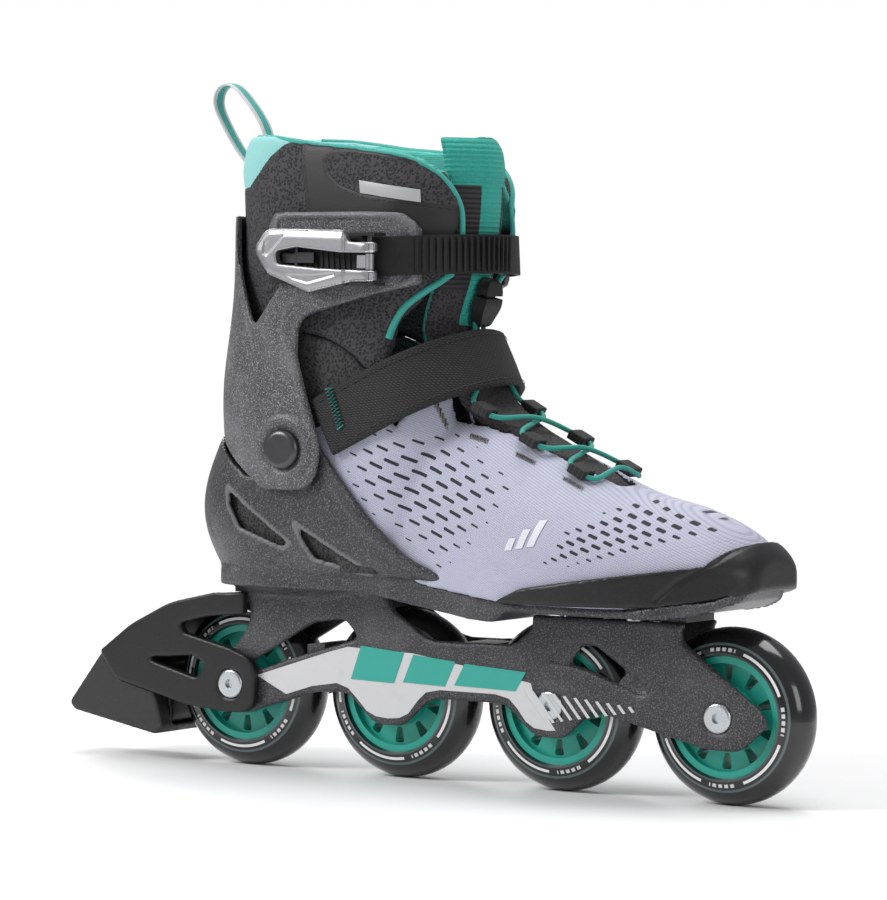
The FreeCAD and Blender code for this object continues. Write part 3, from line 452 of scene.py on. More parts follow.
def tyre_look(number):
    """Cast urethane with a printed ring of white bars and two grey lines."""
    look = Look("urethane_%d" % number, (0.006, 0.006, 0.007), 0.16, Coat_Weight=0.5, Coat_Roughness=0.06)
    across = look.total(look.x, -AXLES[number - 1])
    upward = look.total(look.z, -AXLE_HEIGHT)
    squares = look.total(look.product(across, across), look.product(upward, upward))
    radius = look.maths("SQRT", squares)
    angle = look.maths("ARCTAN2", upward, across)

    def ring(middle, half):
        away = look.maths("ABSOLUTE", look.total(radius, -middle))
        return look.invert(look.step(away, half - 0.08, half + 0.08))

    turned = look.maths("FRACT", look.maths("MULTIPLY_ADD", angle, 2 / math.pi, 0.31 + 0.17 * number))
    bar = look.invert(look.step(look.maths("ABSOLUTE", look.total(turned, -0.5)), 0.27, 0.275))
    small = look.maths("FRACT", look.product(turned, 16))
    ticks = look.both(look.step(look.maths("ABSOLUTE", look.total(turned, -0.5)), 0.36, 0.365),
                      look.step(small, 0.35, 0.4))
    look.tint(ring(28.4, 0.35), (0.05, 0.06, 0.062))
    look.tint(look.both(ring(30.5, 0.62), bar), (0.78, 0.78, 0.78))
    look.tint(look.both(ring(30.6, 0.8), ticks), (0.62, 0.62, 0.62))
    look.tint(ring(33, 0.55), (0.09, 0.12, 0.12))
    highlight_and_wear = look.noise(2.5, 5)
    look.gloss(look.both(look.step(radius, 38, 39.9), look.step(highlight_and_wear, 0.3, 0.7)), 0.34)
    look.rise(look.noise(0.7, 2), 0.006)
    return look.done()


def hub_look():
    look = Look("teal_hub", TEAL, 0.33, Subsurface_Weight=0.08, Subsurface_Scale=0.002)
    look.rise(look.noise(0.5, 3), 0.02)
    look.blotch((12, 2), 0.4, 0.7, 0.25, (0.01, 0.26, 0.20))
    look.patchy((1.6, 4), 0.45, 0.7, 0.42)
    return look.done()


def metal(name, colour, roughness, brushed):
    look = Look(name, colour, roughness, Metallic=1.0)
    scratch = look.noise(brushed, 5, look.scaled(look.place, (1, 1, 6)))
    look.rise(scratch, 0.012)
    look.blotch((2.4, 4), 0.45, 0.75, 0.35, tuple(c * 0.72 for c in colour))
    look.gloss(look.step(scratch, 0.35, 0.7), roughness + 0.14)
    return look.done()


def lining_cloth():
    """Spacer mesh of the insole: a net of small cells with painted shade in them, so the crossings read
    brighter, and pale specks of painted glint.
    """
    look = Look("insole_cloth", (0.02, 0.02, 0.022), 0.82, Sheen_Weight=0.25, Sheen_Roughness=0.5)
    edge = look.step(look.cells(1.4), 0.25, 0.62)
    look.rise(edge, 0.32)
    # Painted shade in the sunk cells.
    look.tint(look.invert(edge), (0.001, 0.001, 0.001), 0.75)
    # Painted glints: small pale specks.
    look.blotch((0.9, 2), 0.5, 0.72, 0.7, (0.05, 0.05, 0.052))
    return look.done()


def webbing(name, colour, pale_highlight, pitch):
    """Twill webbing along the piece's stored length and width, with painted highlight where its ribs and
    picks cross.
    """
    look = Look(name, colour, 0.75, Sheen_Weight=0.05, Sheen_Roughness=0.4)
    along, across = look.stored("along"), look.stored("across")
    ribs = look.wave(look.total(along, look.product(across, 0.6)), pitch)
    picks = look.wave(look.total(across, look.product(along, 0.35)), pitch * 0.8)
    look.rise(look.product(ribs, picks), 0.22)
    # Painted highlight on the raised crossings of ribs and picks.
    look.tint(look.both(ribs, picks), pale_highlight, 0.75)
    look.blotch((5, 3), 0.4, 0.75, 0.2, (0, 0, 0))
    return look.done()


def knit_lavender():
    """Knit with painted highlight on its loop crowns and painted shade between its courses, cut dashes in
    brick rows, and black spacer mesh behind the strap.
    """
    look = Look("lavender_knit", (0.44, 0.445, 0.555), 0.8, Sheen_Weight=0.1, Sheen_Roughness=0.5)
    along, across = look.stored("along"), look.stored("across")
    courses = look.wave(look.total(across, look.product(along, 0.10)), 0.95)
    wales = look.wave(look.total(along, look.product(across, 0.22)), 1.15)
    look.rise(courses, 0.10)
    look.rise(wales, 0.05)
    # Painted highlight on the loop crowns, then painted shade in the hollows between the courses.
    look.tint(look.step(look.product(courses, wales), 0.35, 0.8), (0.57, 0.57, 0.68), 0.55)
    look.tint(look.invert(look.step(courses, 0.05, 0.45)), (0.28, 0.285, 0.38), 0.5)
    look.blotch((9, 3), 0.4, 0.7, 0.25, (0.37, 0.375, 0.49))
    for field, pitch, rows in (("side_field", 13.5, 4.3), ("toe_field", 8, 3.2)):
        size = look.stored(field)
        row = look.maths("DIVIDE", across, rows)
        index = look.maths("ROUND", row)
        shift = look.product(look.maths("FLOORED_MODULO", index, 2), 0.5)
        column = look.total(look.maths("DIVIDE", along, pitch), shift)
        left = look.product(look.total(column, look.product(look.maths("ROUND", column), -1)), pitch)
        up = look.product(look.total(row, look.product(index, -1)), rows)
        half_long = look.product(size, pitch * 0.19)
        half_wide = look.product(size, 0.62)
        past = look.maths("MAXIMUM", look.maths("SUBTRACT", look.maths("ABSOLUTE", left), half_long), 0)
        away = look.maths("SQRT", look.total(look.product(past, past), look.product(up, up)))
        hole = look.invert(look.step(look.maths("SUBTRACT", away, half_wide), -0.14, 0.12))
        hole = look.both(hole, look.step(size, 0.12, 0.25))
        look.tint(hole, (0.012, 0.012, 0.02))
        look.rise(hole, -0.45)
    dark = look.invert(look.step(look.stored("lavender"), -0.3, 0.3))
    look.tint(dark, (0.006, 0.006, 0.007))
    look.net(dark, 1.5, 0.28, 0.7, (0.05, 0.05, 0.052), 0.3)
    inner = look.step(look.stored("inner"), -0.1, 0.25)
    look.tint(inner, (0.02, 0.02, 0.022))
    seam = look.invert(look.step(look.stored("overlay"), 0, 0.5))
    look.rise(seam, -0.12)
    look.tint(seam, (0.33, 0.33, 0.43), 0.3)
    return look.done()


def collar_cloth():
    """Collar: black net behind, smooth overlay with a net inset in front, teal lining, and a heel pad in a
    paler teal that stands in for the light on the heel top.
    """
    look = Look("collar_cloth", (0.005, 0.005, 0.006), 0.75, Sheen_Weight=0.04, Sheen_Roughness=0.5)
    smooth = look.step(look.stored("overlay"), -0.2, 0.2)
    pad = look.step(look.stored("heel_pad"), -0.3, 0.3)
    inner = look.both(look.step(look.stored("inner"), -0.05, 0.2), look.step(look.z, 256, 262))
    teal = look.either(inner, pad)
    bare = look.both(look.invert(smooth), look.invert(teal))
    look.net(bare, 1.35, 0.25, 0.9, (0.045, 0.042, 0.046), 0.34)
    look.tint(smooth, (0.010, 0.0095, 0.010))
    look.gloss(smooth, 0.52)
    look.rise(look.both(smooth, look.noise(0.8, 3)), 0.06)
    away = look.maths("ABSOLUTE", look.total(look.stored("overlay"), -1.7))
    dashes = look.step(look.wave(look.total(look.x, look.product(look.z, 0.7)), 2.6), 0.25, 0.45)
    stitch = look.both(look.invert(look.step(away, 0.28, 0.42)), dashes)
    stitch = look.both(stitch, look.invert(teal))
    look.tint(stitch, (0.002, 0.002, 0.002), 0.8)
    look.rise(stitch, -0.25)
    look.tint(teal, (0.075, 0.46, 0.385))
    # Painted light: the heel pad gets a paler teal for the light on the heel top.
    look.tint(pad, (0.27, 0.58, 0.56))
    look.gloss(teal, 0.85)
    look.rise(look.both(teal, look.wave(look.z, 0.9)), 0.05)
    look.rise(look.both(teal, look.noise(1, 2)), 0.25)
    return look.done()


def tongue_cloth():
    """Tongue: teal knit top and centre strip, ribbed black sides with painted highlight on the rib crests,
    and net below the strap.
    """
    look = Look("tongue_cloth", (0.006, 0.006, 0.007), 0.8, Sheen_Weight=0.05, Sheen_Roughness=0.5)
    low = look.invert(look.step(look.z, 228, 230))
    ribs = look.both(look.invert(low), look.wave(look.z, 2.3))
    look.rise(ribs, 0.4)
    # Painted highlight on the rib crests.
    look.tint(ribs, (0.04, 0.037, 0.04), 0.8)
    look.net(low, 1.2, 0.25, 0.8, (0.045, 0.038, 0.042), 0.3)
    teal = look.step(look.stored("teal"), -0.2, 0.2)
    look.tint(teal, (0.018, 0.33, 0.27))
    fluff = look.both(teal, look.step(look.noise(1.1, 3), 0.45, 0.7))
    look.tint(fluff, (0.05, 0.42, 0.34), 0.5)
    look.rise(look.both(teal, look.noise(0.9, 2)), 0.22)
    look.rise(look.both(teal, look.wave(look.z, 1.2)), 0.08)
    return look.done()


def lace_cloth():
    look = Look("lace_braid", (0.025, 0.40, 0.33), 0.6, Sheen_Weight=0.1)
    diagonal = look.total(look.total(look.x, look.y), look.product(look.z, 0.7))
    counter = look.total(look.maths("SUBTRACT", look.x, look.y), look.product(look.z, -0.7))
    braid = look.product(look.wave(diagonal, 0.9), look.wave(counter, 0.9))
    look.rise(braid, 0.18)
    # Painted shade in the grooves between the braid's strands.
    look.tint(look.invert(look.step(braid, 0.02, 0.3)), (0.008, 0.20, 0.16), 0.5)
    return look.done()


def sewn_thread(name, colour):
    look = Look(name, colour, 0.55, Sheen_Weight=0.2)
    twist = look.wave(look.total(look.total(look.x, look.y), look.z), 0.5)
    look.rise(twist, 0.08)
    # Painted shade in the grooves of the twist.
    look.tint(look.invert(twist), tuple(c * 0.5 for c in colour), 0.35)
    return look.done()


def printed(name, colour, roughness):
    """Screen print on a foil."""
    look = Look(name, colour, roughness)
    look.rise(look.noise(0.6, 3), 0.012)
    look.blotch((5, 5), 0.52, 0.8, 0.3, tuple(c * 0.82 for c in colour))
    look.patchy((2, 3), 0.4, 0.7, roughness + 0.12)
    return look.done()


CHASSIS = chassis_plastic()
CUFF = lit_cuff_plastic()
SATIN = smooth_plastic("satin_black", (0.010, 0.010, 0.011), 0.38, 0.015, 0.42)
MATTE = smooth_plastic("matte_black", (0.010, 0.010, 0.010), 0.55, 0.04, 0.35)
RUBBER = brake_rubber()
HUB = hub_look()
ZINC = metal("zinc_plated", (0.55, 0.58, 0.60), 0.22, 0.6)
RACE = metal("ground_steel", (0.55, 0.56, 0.58), 0.18, 0.4)
SILVER = metal("cast_silver", (0.40, 0.40, 0.42), 0.36, 0.8)
DARK = metal("dark_steel", (0.10, 0.10, 0.105), 0.30, 0.8)
KNIT = knit_lavender()
COLLAR = collar_cloth()
TONGUE = tongue_cloth()
LACE = lace_cloth()
STRAP = webbing("strap_webbing", (0.005, 0.0045, 0.005), (0.055, 0.048, 0.053), 1.5)
LOOP = webbing("loop_webbing", (0.006, 0.006, 0.007), (0.04, 0.04, 0.042), 1.5)
TEAL_THREAD = sewn_thread("teal_thread", (0.035, 0.43, 0.37))
SILVER_THREAD = sewn_thread("silver_thread", (0.50, 0.48, 0.45))
BLACK_THREAD = sewn_thread("black_thread", (0.012, 0.012, 0.013))
WHITE_PRINT = printed("white_print", (0.60, 0.60, 0.61), 0.42)
TEAL_PRINT = printed("teal_print", (0.03, 0.36, 0.30), 0.42)
MARK_PRINT = printed("pale_print", (0.66, 0.67, 0.74), 0.5)
TAG = printed("silver_tag", (0.42, 0.42, 0.43), 0.34)
LINING = lining_cloth()


def dress(material, *names):
    """Give CAD nodes a material."""
    for name in names:
        mesh = nodes[name].data
        if not mesh.materials:
            mesh.materials.append(material)
        for slot in nodes[name].material_slots:
            slot.material = material


for number in range(1, 5):
    dress(tyre_look(number), "tyre_%d" % number)
    dress(HUB, "hub_%d" % number)
    dress(RACE, "bearing_outer_%d" % number, "bearing_inner_%d" % number)
    dress(ZINC, "spacer_%d" % number)
dress(ZINC, "axle_bolts", "axle_nuts", "frame_bolts", "sole_screws")
dress(DARK, "pivot_rivets", "buckle_pins", "buckle_rivets", "strap_screw", "brake_bolt", "lock_pawl")
dress(SILVER, "drive_pawl")
dress(MATTE, "buckle_base", "ladder_strap", "lace_lock", "lock_button")
dress(CHASSIS, "frame_bridges")
dress(LINING, "footbed")


# ------------ chassis

# Level ovals of the fairing: height, rear end, front end, half width.
HEEL_RINGS = [(98, -143.4, -20, 35), (93.5, -140.6, -33, 29.6), (88.5, -138.8, -45, 23.6),
              (84.5, -138.2, -50, 19.2)]
RING_POINTS = 72
CUP_RIM = [(-83.5, 168.5), (-68.8, 157), (-57, 143), (-40, 123.5), (-21.5, 106.7), (-3, 97.6),
           (31, 89), (70, 87), (120, 89.5), (143, 95)]
VENT_REAR = [(-119, 134.5), (-118.5, 127), (-112.5, 116.4), (-88.4, 108), (-84.8, 110.2)]
VENT_FRONT = [(-79.9, 118.8), (-76.6, 111.6), (-71.5, 103.4), (-42, 97.6)]
CUP_GROOVE = [(-78.1, 128.8), (-66.2, 143.8)]
CAP_GROOVE = [(112, 93), (120, 101), (134, 110.5), (141, 119)]


def ring(z, rear, front, half_width):
    """Level oval with a rounded heel, straight sides and a rounded front."""
    rear_length = min(48, half_width * 1.15)
    front_length = min(60, (front - rear) * 0.5)
    points = []
    for k in range(RING_POINTS):
        angle = 2 * math.pi * k / RING_POINTS
        reach = math.cos(angle)
        if reach < 0:
            x = rear + rear_length + rear_length * reach
        else:
            x = front - front_length + front_length * reach
        points.append((x, half_width * math.sin(angle), z))
    return points


def fairing():
    """The flare between the heel cup and the two frame walls."""
    rings = spline(HEEL_RINGS, 10)
    points = [p for row in rings for p in ring(*row)]
    return mesh_of("fairing", points, tube_faces(len(rings), RING_POINTS))


def chassis_shell():
    """Frame, sole plate and heel cup as one moulding, with a raised rim and raised vent borders."""
    shell = recast("chassis_shell", ["rail_lateral", "rail_medial", "sole_plate", "heel_cup"], 1.15, 4,
                   "chassis", CHASSIS, [fairing()])
    places, normals, flat = vertices_of(shell)
    outward = np.abs(normals[:, 1]) > 0.3
    outer_side = faces_out(places, normals)
    cup_zone = (places[:, 2] > 92) & outer_side & (places[:, 0] < -20)
    band = np.where(places[:, 2] > 82, near(line_distance(flat, CUP_RIM), 5, 7.5), 0)
    vent_edge = np.minimum(line_distance(flat, VENT_REAR, True), line_distance(flat, VENT_FRONT, True))
    lift = np.where(outer_side, band * 0.9, 0)
    lift += np.where(cup_zone, 0.7 * near(vent_edge, 0, 2.4), 0)
    lift -= np.where(cup_zone, 0.5 * near(line_distance(flat, CUP_GROOVE), 0.2, 1), 0)
    push(shell, lift * outward)
    mark(shell, "band", band)
    # Mask for a painted highlight along the raised vent borders.
    mark(shell, "ridge_highlight", np.where(cup_zone, near(np.abs(vent_edge - 0.9), 0.5, 1.3), 0))


def brake():
    recast("brake_yoke", ["brake_arm"], 0.9, 4, "chassis", SATIN)
    recast("brake_block", ["brake_pad"], 0.9, 2, "chassis", RUBBER)


def toe_bumper():
    """Toe cap with a groove down its front."""
    cap = recast("toe_bumper", ["toe_cap"], 0.9, 6, "chassis", SATIN)
    _, normals, flat = vertices_of(cap)
    upright = np.hypot(normals[:, 0], normals[:, 1]) > 0.4
    push(cap, -0.8 * near(line_distance(flat, CAP_GROOVE), 0.4, 1.8) * upright)


# ------------ cuff and buckle

PLATE_EDGE = [(-89, 256), (-87.5, 261), (-83, 262.3), (-40, 262.6), (-24, 262.3), (-17.4, 258.4),
              (-16.6, 250), (-16.6, 234), (-20, 231.5)]
ARM_EDGE = [(-60, 222), (-74, 226), (-83, 220), (-85.5, 209), (-80.5, 195), (-75.5, 180), (-70, 164)]
ARM_FRONT = [(-50, 160), (-50, 222)]
SPINE_EDGE = [(-121, 256), (-118, 236), (-104, 207), (-96.5, 191), (-94, 176)]
LEVER_PANELS = [[(-88, 250.2), (-84, 252.8), (-76, 253.4), (-79, 249.8), (-86, 243), (-88.5, 244.5)],
                [(-77, 235.4), (-60, 235.2), (-48, 236.6), (-48, 234.4), (-63.5, 230.6), (-72, 232.6)]]
LEVER_OUTLINE = [(-95, 246), (-86, 257), (-44, 256), (-30, 251), (-30, 231), (-42, 231), (-63, 226),
                 (-88, 235)]


def cuff_shell():
    """Cuff: raised plate edge, sunk field in front of the arm, groove along the spine, pivot rings."""
    cuff = recast("cuff_shell", ["cuff"], 0.95, 4, "cuff", CUFF)
    places, normals, flat = vertices_of(cuff)
    outer_side = faces_out(places, normals)
    plate_edge = line_distance(flat, PLATE_EDGE)
    from_pivot = np.hypot(flat[:, 0] - PIVOT[0], flat[:, 1] - PIVOT[1])
    lift = 0.75 * near(plate_edge, 0.7, 1.8)
    lift -= 0.9 * ease(inside_by(flat, ARM_EDGE + ARM_FRONT), 0, 6) * (flat[:, 1] < 224)
    lift -= 0.7 * near(line_distance(flat, SPINE_EDGE), 0.2, 1.4)
    lift += 1.1 * near(np.abs(from_pivot - 13), 1.6, 3) * (flat[:, 1] < 170)
    push(cuff, np.where(outer_side, lift, 0))
    # Mask for a painted highlight along the plate edge and the arm's edge.
    arm_ridge = 0.6 * near(line_distance(flat, ARM_EDGE), 0.3, 1.6)
    ridge_highlight = np.maximum(near(np.abs(plate_edge - 0.4), 0.4, 1.2), arm_ridge)
    mark(cuff, "ridge_highlight", np.where(outer_side, ridge_highlight, 0))


def lever_cast():
    """Cast lever: a crowned front with two sunk panels."""
    lever = recast("lever_cast", ["buckle_lever"], 0.42, 6, "lever", SILVER)
    _, normals, flat = vertices_of(lever)
    sunk = np.maximum(*[ease(inside_by(flat, panel), 0, 0.7) for panel in LEVER_PANELS])
    crown = 0.9 * ease(inside_by(flat, LEVER_OUTLINE), 0, 5)
    push(lever, np.where(normals[:, 1] < -0.4, -0.55 * sunk - 0.9 + crown, 0))


def ladder_ribs():
    """Grip ribs across the front of the toothed strap, which follows an oval and tilts a little."""
    centre_x, long_radius, wide_radius = -35.8, 41.9, 50.8
    slope = math.tan(math.radians(3.5))
    low_edge, rib_ends = 232.6, (1, 17)
    section = [(-0.75, -0.3), (-0.55, 0.75), (0.55, 0.75), (0.75, -0.3)]
    corners = len(section)
    points, faces = [], []
    for k in range(17):
        angle = math.radians(-58.0 + 4.1 * k)
        out = Vector((math.cos(angle) / long_radius, math.sin(angle) / wide_radius, 0)).normalized()
        tangent = Vector((-out.y, out.x, 0))
        foot = Vector((centre_x + long_radius * math.cos(angle), wide_radius * math.sin(angle) - 0.8, 0))
        base = len(points)
        for height in rib_ends:
            for t, n in section:
                p = foot + tangent * t + out * n
                points.append((p.x, p.y, low_edge + slope * (p.x + 60) + height))
        for i in range(corners):
            j = (i + 1) % corners
            faces.append((base + i, base + j, base + corners + j, base + corners + i))
        faces.append(tuple(base + i for i in reversed(range(corners))))
        faces.append(tuple(base + corners + i for i in range(corners)))
    new_piece("strap_ribs", mesh_of("strap_ribs", points, faces, False), MATTE, "cuff")


# ------------ upper

LAVENDER = [(-76, 162), (-58, 134), (-44, 116), (-28, 101), (-10, 91), (10, 80), (170, 80), (170, 200),
            (38, 200), (-74, 163)]
SIDE_FIELD = [(-55, 152), (-43, 165), (-10, 166), (6, 160), (26, 148), (38, 140), (29, 128), (19, 116),
              (6, 106), (-4, 100), (-14, 108), (-34, 121), (-50, 134)]
TOE_FIELD = [(56, 105), (66, 122), (80, 130), (90, 138), (108, 134), (130, 128), (128, 122), (114, 117),
             (98, 112), (80, 108)]
OVERLAY = [(20, 97), (43, 105), (67, 108.5), (90, 111), (119, 115.5), (145, 122)]
KNIT_SLANT = math.radians(-21)


def knit_upper():
    """Knit of the boot, with the masks that its material reads. Returns its surface."""
    upper = recast("knit_upper", ["boot_upper"], 1.5, 5, "chassis", KNIT)
    places, normals, flat = vertices_of(upper)
    mark(upper, "lavender", inside_by(flat, LAVENDER))
    mark(upper, "overlay", line_distance(flat, OVERLAY))
    for name, outline, full, least, growth in (("side_field", SIDE_FIELD, 16, 0.45, 0.75),
                                               ("toe_field", TOE_FIELD, 7, 0.4, 0.7)):
        inside = inside_by(flat, outline)
        mark(upper, name, np.where(inside > 0, least + growth * ease(inside, -2, full), 0))
    cos, sin = math.cos(KNIT_SLANT), math.sin(KNIT_SLANT)
    mark(upper, "along", flat[:, 0] * cos + flat[:, 1] * sin)
    mark(upper, "across", -flat[:, 0] * sin + flat[:, 1] * cos)
    outward = (normals[:, 1] * places[:, 1] + normals[:, 0] * (places[:, 0] + 30) * 0.2
               + normals[:, 2] * (places[:, 2] - 120) * 0.4)
    mark(upper, "inner", -np.sign(outward) * np.minimum(np.abs(outward), 1))
    return tree_of(upper)


def instep_point(x, z, distance, lift=0.0):
    """A point moved down the slope of the instep and away from it."""
    return (x + distance * math.cos(INSTEP) + lift * math.sin(INSTEP),
            z - distance * math.sin(INSTEP) + lift * math.cos(INSTEP))


def bar_tacks(surface):
    """Silver zigzags outside each lace loop."""
    runs = []
    for side in (-1, 1):
        for x, z in LOOPS + [(-13.5, 184.8)]:
            start, end = instep_point(x, z, -6.5), instep_point(x, z, 5.5)
            y = 31.0 * side
            line = zigzag((start[0], y, start[1] + 6), (end[0], y, end[1] + 6), (0.8, 1.9 * side, -1.8), 22)
            runs.append(lay_on(surface, line, (0, -0.35 * side, -1), 0.25))
    thread("loop_tacks", runs, 0.32, SILVER_THREAD, "chassis", segments=5)


def side_mark(surface):
    """Three plain slanted bars, a generic print on the outer side."""
    rows, columns = 7, 3
    points, faces = [], []
    for k in range(3):
        x, z, tall = 36.0 + 6.2 * k, 112.0 + 1.1 * k, 6.0 + 3.2 * k
        lean = tall * 0.42
        corners = [(x, z), (x + 4, z + 0.4), (x + 4.0 + lean, z + tall), (x + lean, z + tall - 0.4)]
        base = len(points)
        grid = [(px, -46, pz) for px, pz, _, _ in patch(corners, rows, columns)]
        points += lay_on(surface, grid, (0, 1, 0), 0.35)
        faces += [tuple(base + v for v in face) for face in grid_faces(rows, columns)]
    new_piece("side_print", mesh_of("side_print", points, faces), MARK_PRINT, "chassis")


# ------------ collar, tongue, loop

COLLAR_OVERLAY = [(-79.5, 305), (-78.6, 289), (-74.5, 267), (-73, 240), (-60, 238.5), (-20, 238.5),
                  (15, 240), (15, 305)]
COLLAR_INSET = [(-64.6, 287.5), (-63.2, 282), (-56.5, 276.4), (-43.5, 272.2), (-23.6, 269.6),
                (15, 264.5), (15, 283), (-10, 285.4), (-20, 286.6), (-36, 289.6), (-52, 291.6),
                (-61, 290.6)]
HEEL_PAD = collect([(-136, 281), (-130, 277.5), (-122, 275), (-114, 276), (-106, 282), (-98, 290),
                    (-90, 295.5), (-80, 299), (-60, 305)])
# Level sections of the collar: height, rear end, front end, half width.
COLLAR_LEVELS = collect([(188, -134, -8, 38.6), (215, -131.6, -10, 39.4), (240, -130.4, -1, 42),
                         (258, -130.1, 3, 43), (275, -131, 4, 42.8), (290, -130.4, 2, 41.5),
                         (302, -126, -5, 38.5)])
COLLAR_HEEL, COLLAR_FRONT = 48, 38
COLLAR_TOP = [(-113, 299.2), (-100, 298.8), (-85, 297), (-70, 295), (-52, 293.6), (-38, 291.8),
              (-26, 290), (-17.5, 286.6), (-10, 281), (-5.5, 274.5), (-3.4, 266), (-2.6, 256),
              (-3.2, 246), (-5.8, 238.5)]
COLLAR_FLAP = [(-7.5, 236.8), (-12.5, 232.5), (-19, 227.2), (-26, 221), (-30.8, 214), (-33.4, 206)]
COLLAR_TAG = [(-45.9, 278.6), (-16, 274.4), (-15.6, 268.4), (-45, 272.6)]
LOOP_PATH = [(-131.8, 282.6), (-136.5, 288.5), (-142.4, 295), (-149, 304.5), (-154.6, 314.8),
             (-154.6, 321), (-151.5, 325), (-146.8, 325.6), (-142.2, 323.2), (-137.5, 318.6),
             (-132.6, 313), (-128.2, 306.5), (-125.6, 300.6)]


def collar_pad():
    """Padded collar: swollen overlay, heel pad with a seam below it, and a roll inside the top."""
    collar = recast("collar_pad", ["collar"], 1.35, 8, "cuff", COLLAR)
    places, normals, flat = vertices_of(collar)
    height = places[:, 2]
    overlay = np.minimum(inside_by(flat, COLLAR_OVERLAY), -inside_by(flat, COLLAR_INSET))
    facing = normals[:, 0] * (places[:, 0] + 62) / 66.0 + normals[:, 1] * places[:, 1] / 40.0
    outer = facing > 0.1
    pad = height - np.interp(places[:, 0], HEEL_PAD[:, 0], HEEL_PAD[:, 1])
    swell = np.where(outer, 0.45 * ease(overlay, -0.3, 0.5), 0)
    swell += np.where(outer, 0.9 * ease(pad, 0, 8), 0)
    swell -= np.where(outer, 0.5 * near(np.abs(pad), 0, 1.2), 0)
    roll = 1.6 * ease(height, 262, 280) * near(height, 286, 298)
    swell += np.where(facing < -0.1, roll, 0)
    push(collar, swell)
    mark(collar, "overlay", overlay)
    mark(collar, "inner", -facing)
    mark(collar, "heel_pad", pad)
    return tree_of(collar)


def collar_half_width(x, z, inset):
    """How far from the middle the collar's skin is, for a cord laid in by the inset."""
    least = 22.3
    rear, front, half = [np.interp(z, COLLAR_LEVELS[:, 0], COLLAR_LEVELS[:, k]) for k in (1, 2, 3)]
    rear, front, half = rear + inset, front - inset, half - inset
    rear_centre, front_centre = rear + COLLAR_HEEL - inset, front - COLLAR_FRONT + inset
    if x > front_centre:
        share = (x - front_centre) / (COLLAR_FRONT - inset)
    elif x < rear_centre:
        share = (rear_centre - x) / (COLLAR_HEEL - inset)
    else:
        share = 0.0
    return max(half * math.sqrt(max(1 - share * share, 0)), least)


def piping(name, outline, inset, radius):
    """Teal cord along an edge of the collar, on both sides."""
    runs = []
    for side in (-1, 1):
        path = [(x, side * collar_half_width(x, z, inset), z) for x, z in outline]
        runs.append(spline(path, 90))
    thread(name, runs, radius, TEAL_THREAD, "cuff", segments=8)


def collar_tag(surface):
    """Plain silver tag in the middle of the net inset, thicker away from its edge."""
    rows, columns = 5, 13
    points = []
    for x, z, s, t in patch(COLLAR_TAG, rows, columns):
        from_edge = min(s, 1 - s, t * 3, (1 - t) * 3)
        points += lay_on(surface, [(x, -60, z)], (0, 1, 0), 0.55 + min(from_edge * 4, 1) * 0.25)
    new_piece("collar_tag", mesh_of("collar_tag", points, grid_faces(rows, columns)), TAG, "cuff")


def tongue_pad():
    """Padded tongue: swollen teal top and centre strip."""
    tongue = recast("tongue_pad", ["tongue"], 1.2, 7, "chassis", TONGUE)
    places, normals, _ = vertices_of(tongue)
    height = places[:, 2]
    upright = height > 192
    strip = 8.8 - np.abs(places[:, 1])
    back = np.where(normals[:, 0] < -0.25, 3, -3)
    teal = np.maximum(np.maximum(np.where(height > 212, strip, -3), height - 277), back)
    mark(tongue, "teal", np.where(upright, teal, -3))
    front_face = (normals[:, 0] > 0.2) & upright
    swell = np.where(front_face, 1.3 * ease(height, 276, 283) * near(height, 292, 300), 0)
    swell += np.where(front_face & (np.abs(places[:, 1]) < 10), 0.7 * ease(strip, 0, 3), 0)
    push(tongue, swell)


def band_piece(name, path, ups, profile, material, body):
    """Sweep a (across, out) profile along a path of points with their width directions."""
    path, ups = collect(path), collect(ups)
    tangent = np.gradient(path, axis=0)
    tangent /= np.linalg.norm(tangent, axis=1)[:, None]
    out = np.cross(tangent, ups)
    out /= np.linalg.norm(out, axis=1)[:, None]
    length = np.concatenate([[0], np.cumsum(np.linalg.norm(np.diff(path, axis=0), axis=1))])
    points = [path[i] + ups[i] * a + out[i] * o for i in range(len(path)) for a, o in profile]
    faces = tube_faces(len(path), len(profile))
    piece = new_piece(name, mesh_of(name, points, faces), material, body)
    mark(piece, "along", np.repeat(length, len(profile)))
    mark(piece, "across", np.tile([a for a, _ in profile], len(path)))
    return piece


def flat_profile(half, thick, crown=0.0, hem=0.0):
    """Closed outline of a band: rounded edges, hemmed or crowned as asked."""
    outer, inner = [], []
    for s in np.linspace(-1, 1, 25):
        away = abs(s)
        edge = math.sqrt(max(1 - away ** 12, 0))
        swell = crown * (1 - s * s) + hem * ease(away, 0.80, 0.86) * near(away, 0.97, 1)
        outer.append((half * s, thick * 0.5 * edge + float(swell)))
        inner.append((half * s, -thick * 0.5 * edge))
    return outer + inner[::-1][1:-1]


def pull_loop():
    """Webbing loop: white, with a raised teal band along the middle."""
    path = spline([(x, 0, z) for x, z in LOOP_PATH], 90)
    ups = [(0, 1, 0)] * len(path)
    white = band_piece("loop_web", path, ups, flat_profile(4.6, 1.1), WHITE_PRINT, "cuff")
    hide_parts("pull_loop")
    band_piece("loop_band", path, ups, flat_profile(2.5, 1.7), TEAL_THREAD, "cuff")


# ------------ power strap

STRAP_END = -75.0
STRAP_HALF = 42.25


